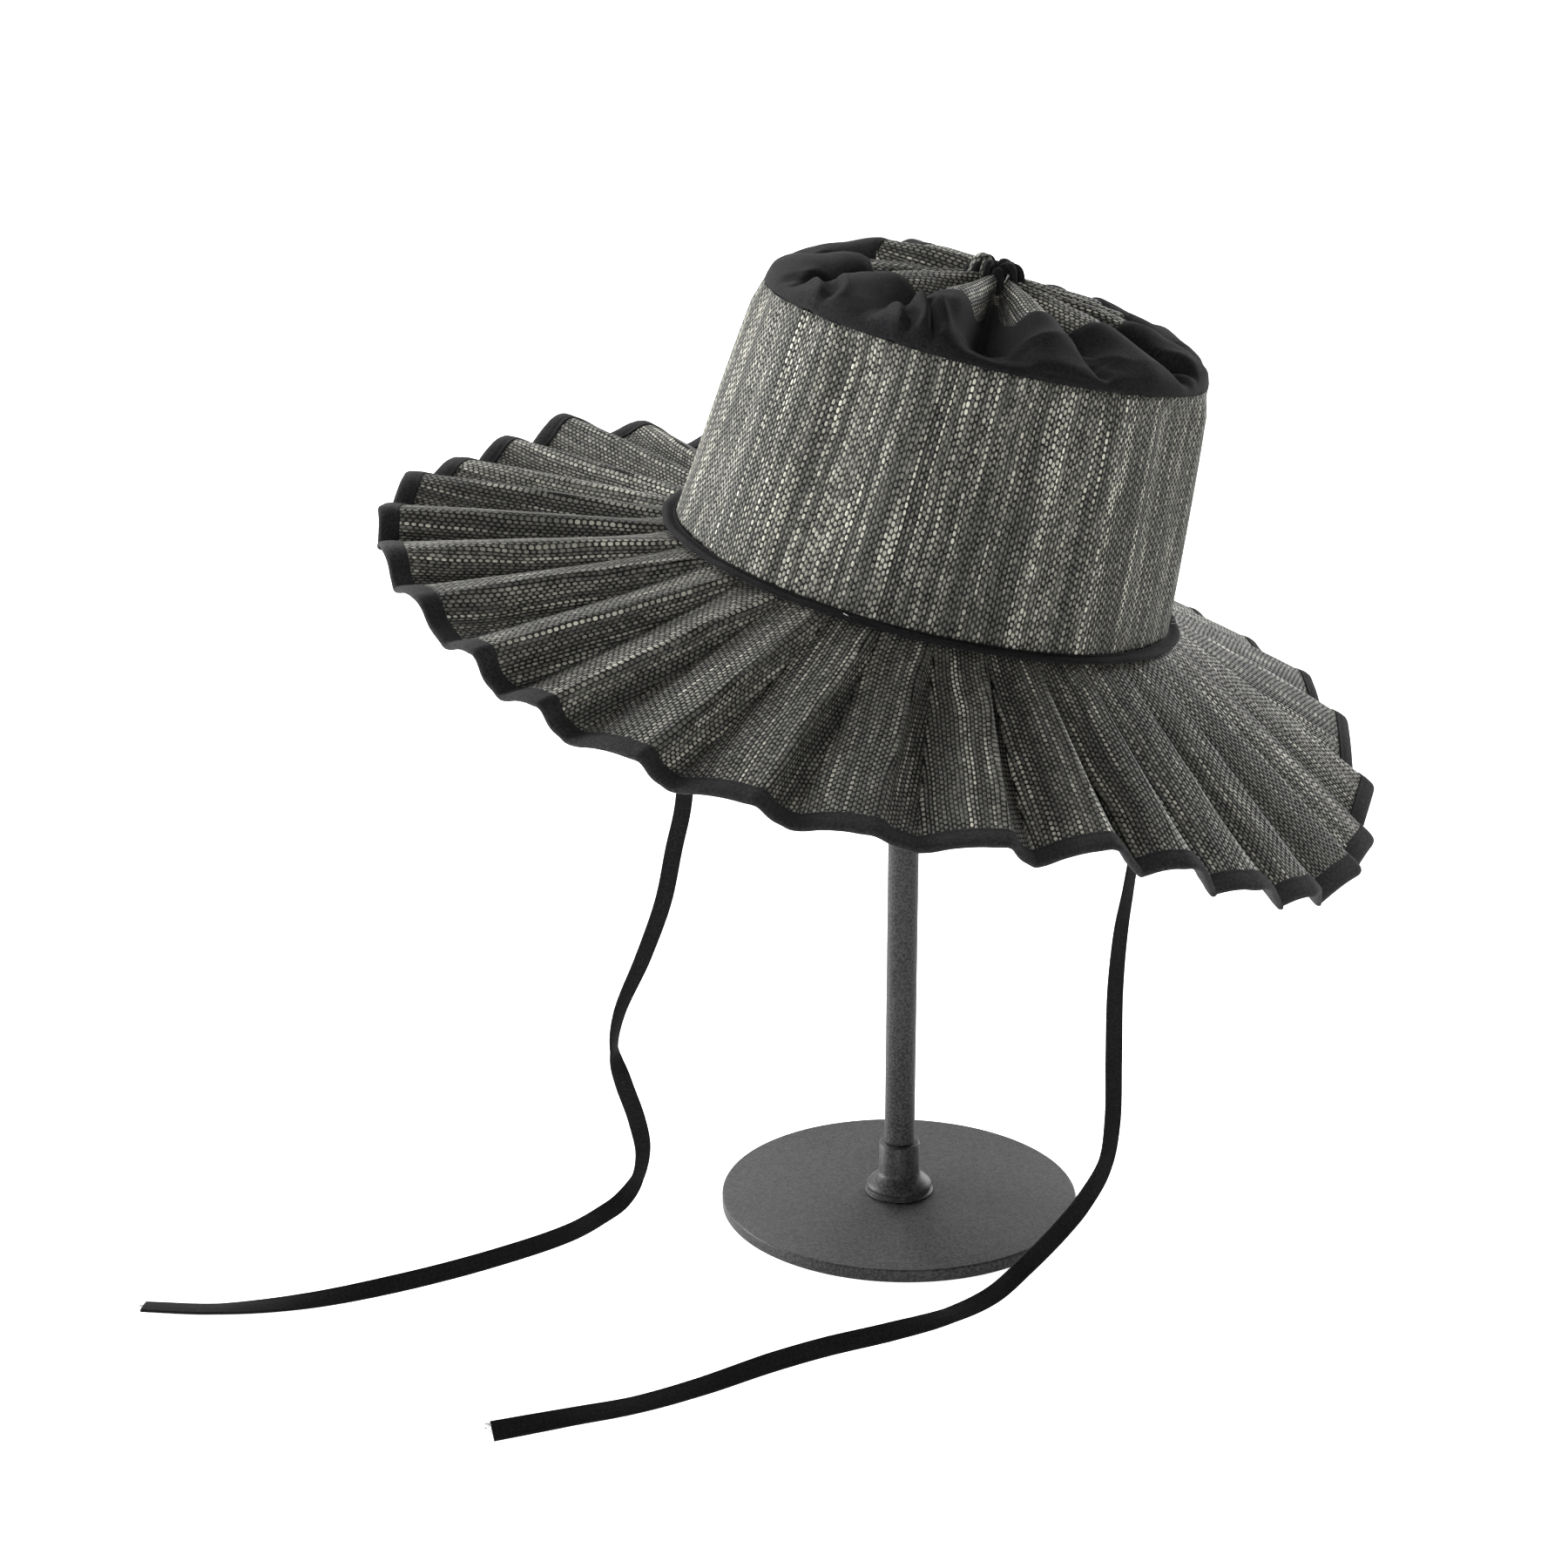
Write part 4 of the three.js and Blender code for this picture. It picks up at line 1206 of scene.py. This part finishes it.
# Points along each tie, and where the flat of the ribbon faces there: swing turns it from the
# viewer to the right, and tilt turns it up. Columns: x, y, z, swing, tilt
LEFT_TIE = np.array([
    (-77.5, -0.8, 278.5, 90, 0), (-77.9, -0.9, 269.0, 85, 0), (-79.4, -1.1, 240.0, 60, 0),
    (-81.0, -1.5, 205.0, 40, 0), (-82.1, -2.0, 162.5, 25, 0), (-86.0, -3.0, 143.4, 20, 0),
    (-90.2, -4.0, 123.0, 20, 0), (-98.1, -5.0, 100.6, 30, 0), (-107.4, -7.0, 78.3, 55, 0),
    (-109.4, -8.0, 64.3, 75, 0), (-106.1, -8.0, 51.0, 20, 0), (-101.2, -8.0, 35.7, 10, 0),
    (-98.9, -9.0, 23.1, 40, 5), (-100.9, -11.0, 12.6, 60, 15), (-106.3, -16.5, 5.8, 50, 40),
    (-113.5, -26.0, 3.6, 35, 45), (-124.0, -41.0, 3.3, 30, 40), (-151.0, -64.5, 3.2, 30, 42),
    (-182.0, -85.0, 3.1, 25, 45), (-211.0, -97.5, 2.2, 15, 65), (-241.0, -102.5, 1.0, 10, 88),
    (-268.0, -102.0, 0.9, 5, 90),
])
RIGHT_TIE = np.array([
    (90.8, 0.8, 239.7, 90, 0), (89.9, 1.1, 231.8, 85, 0), (89.6, 0.6, 215.0, 75, 0),
    (88.9, -0.6, 190.0, 65, 0), (87.3, -2.4, 160.0, 60, 0), (83.7, -6.0, 131.5, 50, 0),
    (81.2, -10.0, 116.3, 35, 0), (79.4, -16.0, 95.0, 25, 0), (79.1, -24.0, 71.1, 20, 0),
    (78.6, -34.0, 50.0, 25, 10), (75.8, -42.0, 36.5, 45, 25), (67.8, -50.0, 24.9, 35, 40),
    (58.7, -57.5, 16.4, 25, 50), (46.5, -67.0, 7.4, 15, 50), (34.0, -82.5, 3.3, 10, 50),
    (18.5, -96.5, 2.2, 10, 68), (-2.3, -111.0, 3.0, 25, 45), (-24.0, -123.0, 3.2, 30, 42),
    (-42.0, -134.5, 3.1, 30, 45), (-65.5, -151.0, 2.3, 25, 62), (-85.5, -163.0, 2.0, 20, 68),
    (-105.5, -172.0, 2.3, 15, 62), (-129.5, -183.5, 3.0, 15, 45),
])


@dataclass
class Tie:
    """A free flat tie, from inside the crown down to the floor, with a frayed end."""

    name: str
    node: str
    route: np.ndarray
    seed: int
    width: float = 6.9
    thickness: float = 1.15
    steps: int = 14

    def path(self) -> tuple[np.ndarray, np.ndarray]:
        """The tie's middle line and the way its flat faces along it.

        Returns:
            points in millimetres, and unit facings.
        """
        places = self.route[:, :3]
        padded = np.vstack([2 * places[0] - places[1], places, 2 * places[-1] - places[-2]])
        gaps = np.linalg.norm(np.diff(padded, axis=0), axis=1) ** 0.5
        line = []
        for i in range(len(places) - 1):
            p0, p1, p2, p3 = padded[i : i + 4]
            g0, g1, g2 = gaps[i : i + 3]
            m1 = g1 * ((p1 - p0) / g0 - (p2 - p0) / (g0 + g1) + (p2 - p1) / g1)
            m2 = g1 * ((p2 - p1) / g1 - (p3 - p1) / (g1 + g2) + (p3 - p2) / g2)
            for s in np.arange(self.steps) / self.steps:
                line.append((2 * s**3 - 3 * s**2 + 1) * p1 + (s**3 - 2 * s**2 + s) * m1
                            + (3 * s**2 - 2 * s**3) * p2 + (s**3 - s**2) * m2)
        line = np.array(line + [places[-1]])
        swing, tilt = np.radians(self.route[:, 3]), np.radians(self.route[:, 4])
        facing = np.stack([np.cos(tilt) * np.sin(swing), -np.cos(tilt) * np.cos(swing),
                           np.sin(tilt)], -1)
        at = np.arange(len(line)) / self.steps
        facing = np.stack([np.interp(at, np.arange(len(places)), facing[:, i])
                           for i in range(3)], -1)
        return line, facing

    def frames(self) -> tuple[np.ndarray, np.ndarray, np.ndarray]:
        """The tie's middle line with its sideways and flat-facing unit vectors."""
        line, facing = self.path()
        ahead = unit(np.gradient(line, axis=0))
        side = unit(np.cross(ahead, facing))
        return line, side, np.cross(side, ahead)

    def ribbon(self) -> bpy.types.Object:
        """Builds the folded flat ribbon, closed at both ends."""
        line, side, flat = self.frames()
        half, thin = self.width / 2, self.thickness / 2
        section = [(-half, 0), (-half + 0.12, 0.7 * thin), (-half + 0.5, thin),
                   (-half + 1.1, 0.82 * thin), (-half + 1.7, thin), (0, 0.94 * thin),
                   (half - 1.7, thin), (half - 1.1, 0.82 * thin), (half - 0.5, thin),
                   (half - 0.12, 0.7 * thin)]
        section += [(-x, -z) for x, z in section]
        points = np.stack([line + side * x + flat * z for x, z in section], 1) * MM
        piece = grid_piece(self.name, points)
        close_ends(piece)
        smooth(piece, 60)
        return piece

    def threads(self) -> bpy.types.Object:
        """Builds the few pale threads that stand out of the cut end."""
        rng = np.random.default_rng(self.seed)
        line, side, flat = self.frames()
        end, ahead = line[-1], unit(line[-1] - line[-2])
        share = np.linspace(0, 1, 7)[:, None]
        lines = []
        for _ in range(14):
            start = end + side[-1] * rng.uniform(-0.46, 0.46) * self.width - ahead * 0.4
            start = start + flat[-1] * rng.uniform(-0.3, 0.3)
            way = ahead + side[-1] * rng.normal(0, 0.35) + flat[-1] * rng.normal(0, 0.2)
            curl = side[-1] * rng.normal(0, 0.9)
            line = start + way * rng.uniform(1.5, 4.8) * share + curl * share**2
            line[:, 2] = np.maximum(line[:, 2], 0.25)
            lines.append(line)
        return strand_piece(self.name + "_threads", lines)

    def build(self) -> None:
        """Builds the tie."""
        ribbon = settle(self.ribbon(), TIE_CLOTH, Slot.CLOTH, self.node)
        threads = settle(self.threads(), RAW_THREAD, Slot.CLOTH)
        line = self.path()[0] * MM


@dataclass
class Studio:
    """The pale floor, the soft lights and the camera."""

    camera_place: tuple[float, float, float] = (0.0, -0.89036, 0.42113)
    camera_pitch_deg: float = 15.81867
    camera_yaw_deg: float = 2.88005
    lens_mm: float = 57.096
    backdrop: float = 0.6
    dim_side: float = 0.08
    # Each soft light: its name, the side it shines from, round from the right, its height, how
    # wide it looks, all in degrees, and its strength
    lights: tuple[tuple[str, float, float, float, float], ...] = (
        ("left", 167.0, 12.0, 30.0, 9.0), ("right_back", 58.0, 18.0, 35.0, 3.0),
        ("back", 118.0, 38.0, 35.0, 2.6), ("front", 264.0, 7.0, 20.0, 2.0))

    def build_camera(self) -> None:
        """Stands the camera where the photograph was taken."""
        data = bpy.data.cameras.new("view")
        data.lens = self.lens_mm
        data.sensor_width = 36.0
        camera = bpy.data.objects.new("view", data)
        camera.location = self.camera_place
        camera.rotation_euler = (math.radians(90 - self.camera_pitch_deg), 0,
                                 math.radians(self.camera_yaw_deg))
        bpy.context.collection.objects.link(camera)
        bpy.context.scene.camera = camera

    def build_floor(self) -> None:
        """Lays the plain pale floor."""
        half = 6.0
        corners = np.array([(-half, -half, 0), (half, -half, 0), (half, half, 0),
                            (-half, half, 0)]) + (0, 0, -0.0002)
        floor = new_piece("floor", corners, np.array([[0, 1, 2, 3]]))
        pale = bpy.data.materials.new("pale_floor")
        pale.use_nodes = True
        g = Graph(pale.node_tree)
        lit = g.add("ShaderNodeBsdfDiffuse", {"Color": (0.86, 0.86, 0.86, 1)}).outputs[0]
        glow = g.add("ShaderNodeEmission", {"Strength": 1.0}).outputs[0]
        table = g.add("ShaderNodeAddShader", {0: lit, 1: glow}).outputs[0]
        pale.node_tree.links.new(table, pale.node_tree.nodes["Material Output"].inputs[0])
        floor.data.materials.append(pale)

    def light(self, name: str, side_deg: float, height_deg: float, width_deg: float,
              strength: float) -> None:
        """Hangs one wide soft light.

        Args:
            name: the light's name.
            side_deg: the side it shines from, round from the right.
            height_deg: how high it stands.
            width_deg: how wide it looks from the hat.
            strength: its strength in watts for each square metre.
        """
        data = bpy.data.lights.new(name, "SUN")
        data.energy, data.angle = strength, math.radians(width_deg)
        lamp = bpy.data.objects.new(name, data)
        side, height = math.radians(side_deg), math.radians(height_deg)
        way = -Vector((math.cos(height) * math.cos(side), math.cos(height) * math.sin(side),
                       math.sin(height)))
        lamp.rotation_euler = way.to_track_quat("-Z", "Y").to_euler()
        bpy.context.collection.objects.link(lamp)

    def build(self) -> None:
        """Builds the studio."""
        self.build_camera()
        self.build_floor()
        world = bpy.data.worlds.new("studio")
        world.use_nodes = True
        sky = world.node_tree.nodes["Background"]
        g = Graph(world.node_tree)
        seen = g.add("ShaderNodeLightPath").outputs["Is Camera Ray"]
        way = g.add("ShaderNodeTexCoord").outputs["Generated"]
        back = g.add("ShaderNodeSeparateXYZ", {0: way}).outputs[1]
        light = g.ramp(back, -0.1, 0.7, self.dim_side, self.backdrop)
        sky.inputs[0].default_value = (1.0, 1.0, 1.0, 1)
        world.node_tree.links.new(g.math("MAXIMUM", light, g.times(seen, 1.2)),
                                  sky.inputs[1])
        bpy.context.scene.world = world
        bpy.context.scene.view_settings.view_transform = "Standard"
        for row in self.lights:
            self.light(*row)


def main() -> None:
    """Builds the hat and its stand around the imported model."""
    logging.basicConfig(level=logging.INFO, format="%(name)s: %(message)s")
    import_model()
    for build in (weave_group, nap_group, coat_group):
        build()
    Studio().build()
    Tie("left_ribbon", "tie_left", LEFT_TIE, 5).build()
    Tie("right_ribbon", "tie_right", RIGHT_TIE, 6).build()
    Stand().build()
    Crown().build()
    Brim().build()


if __name__ == "__main__":
    main()
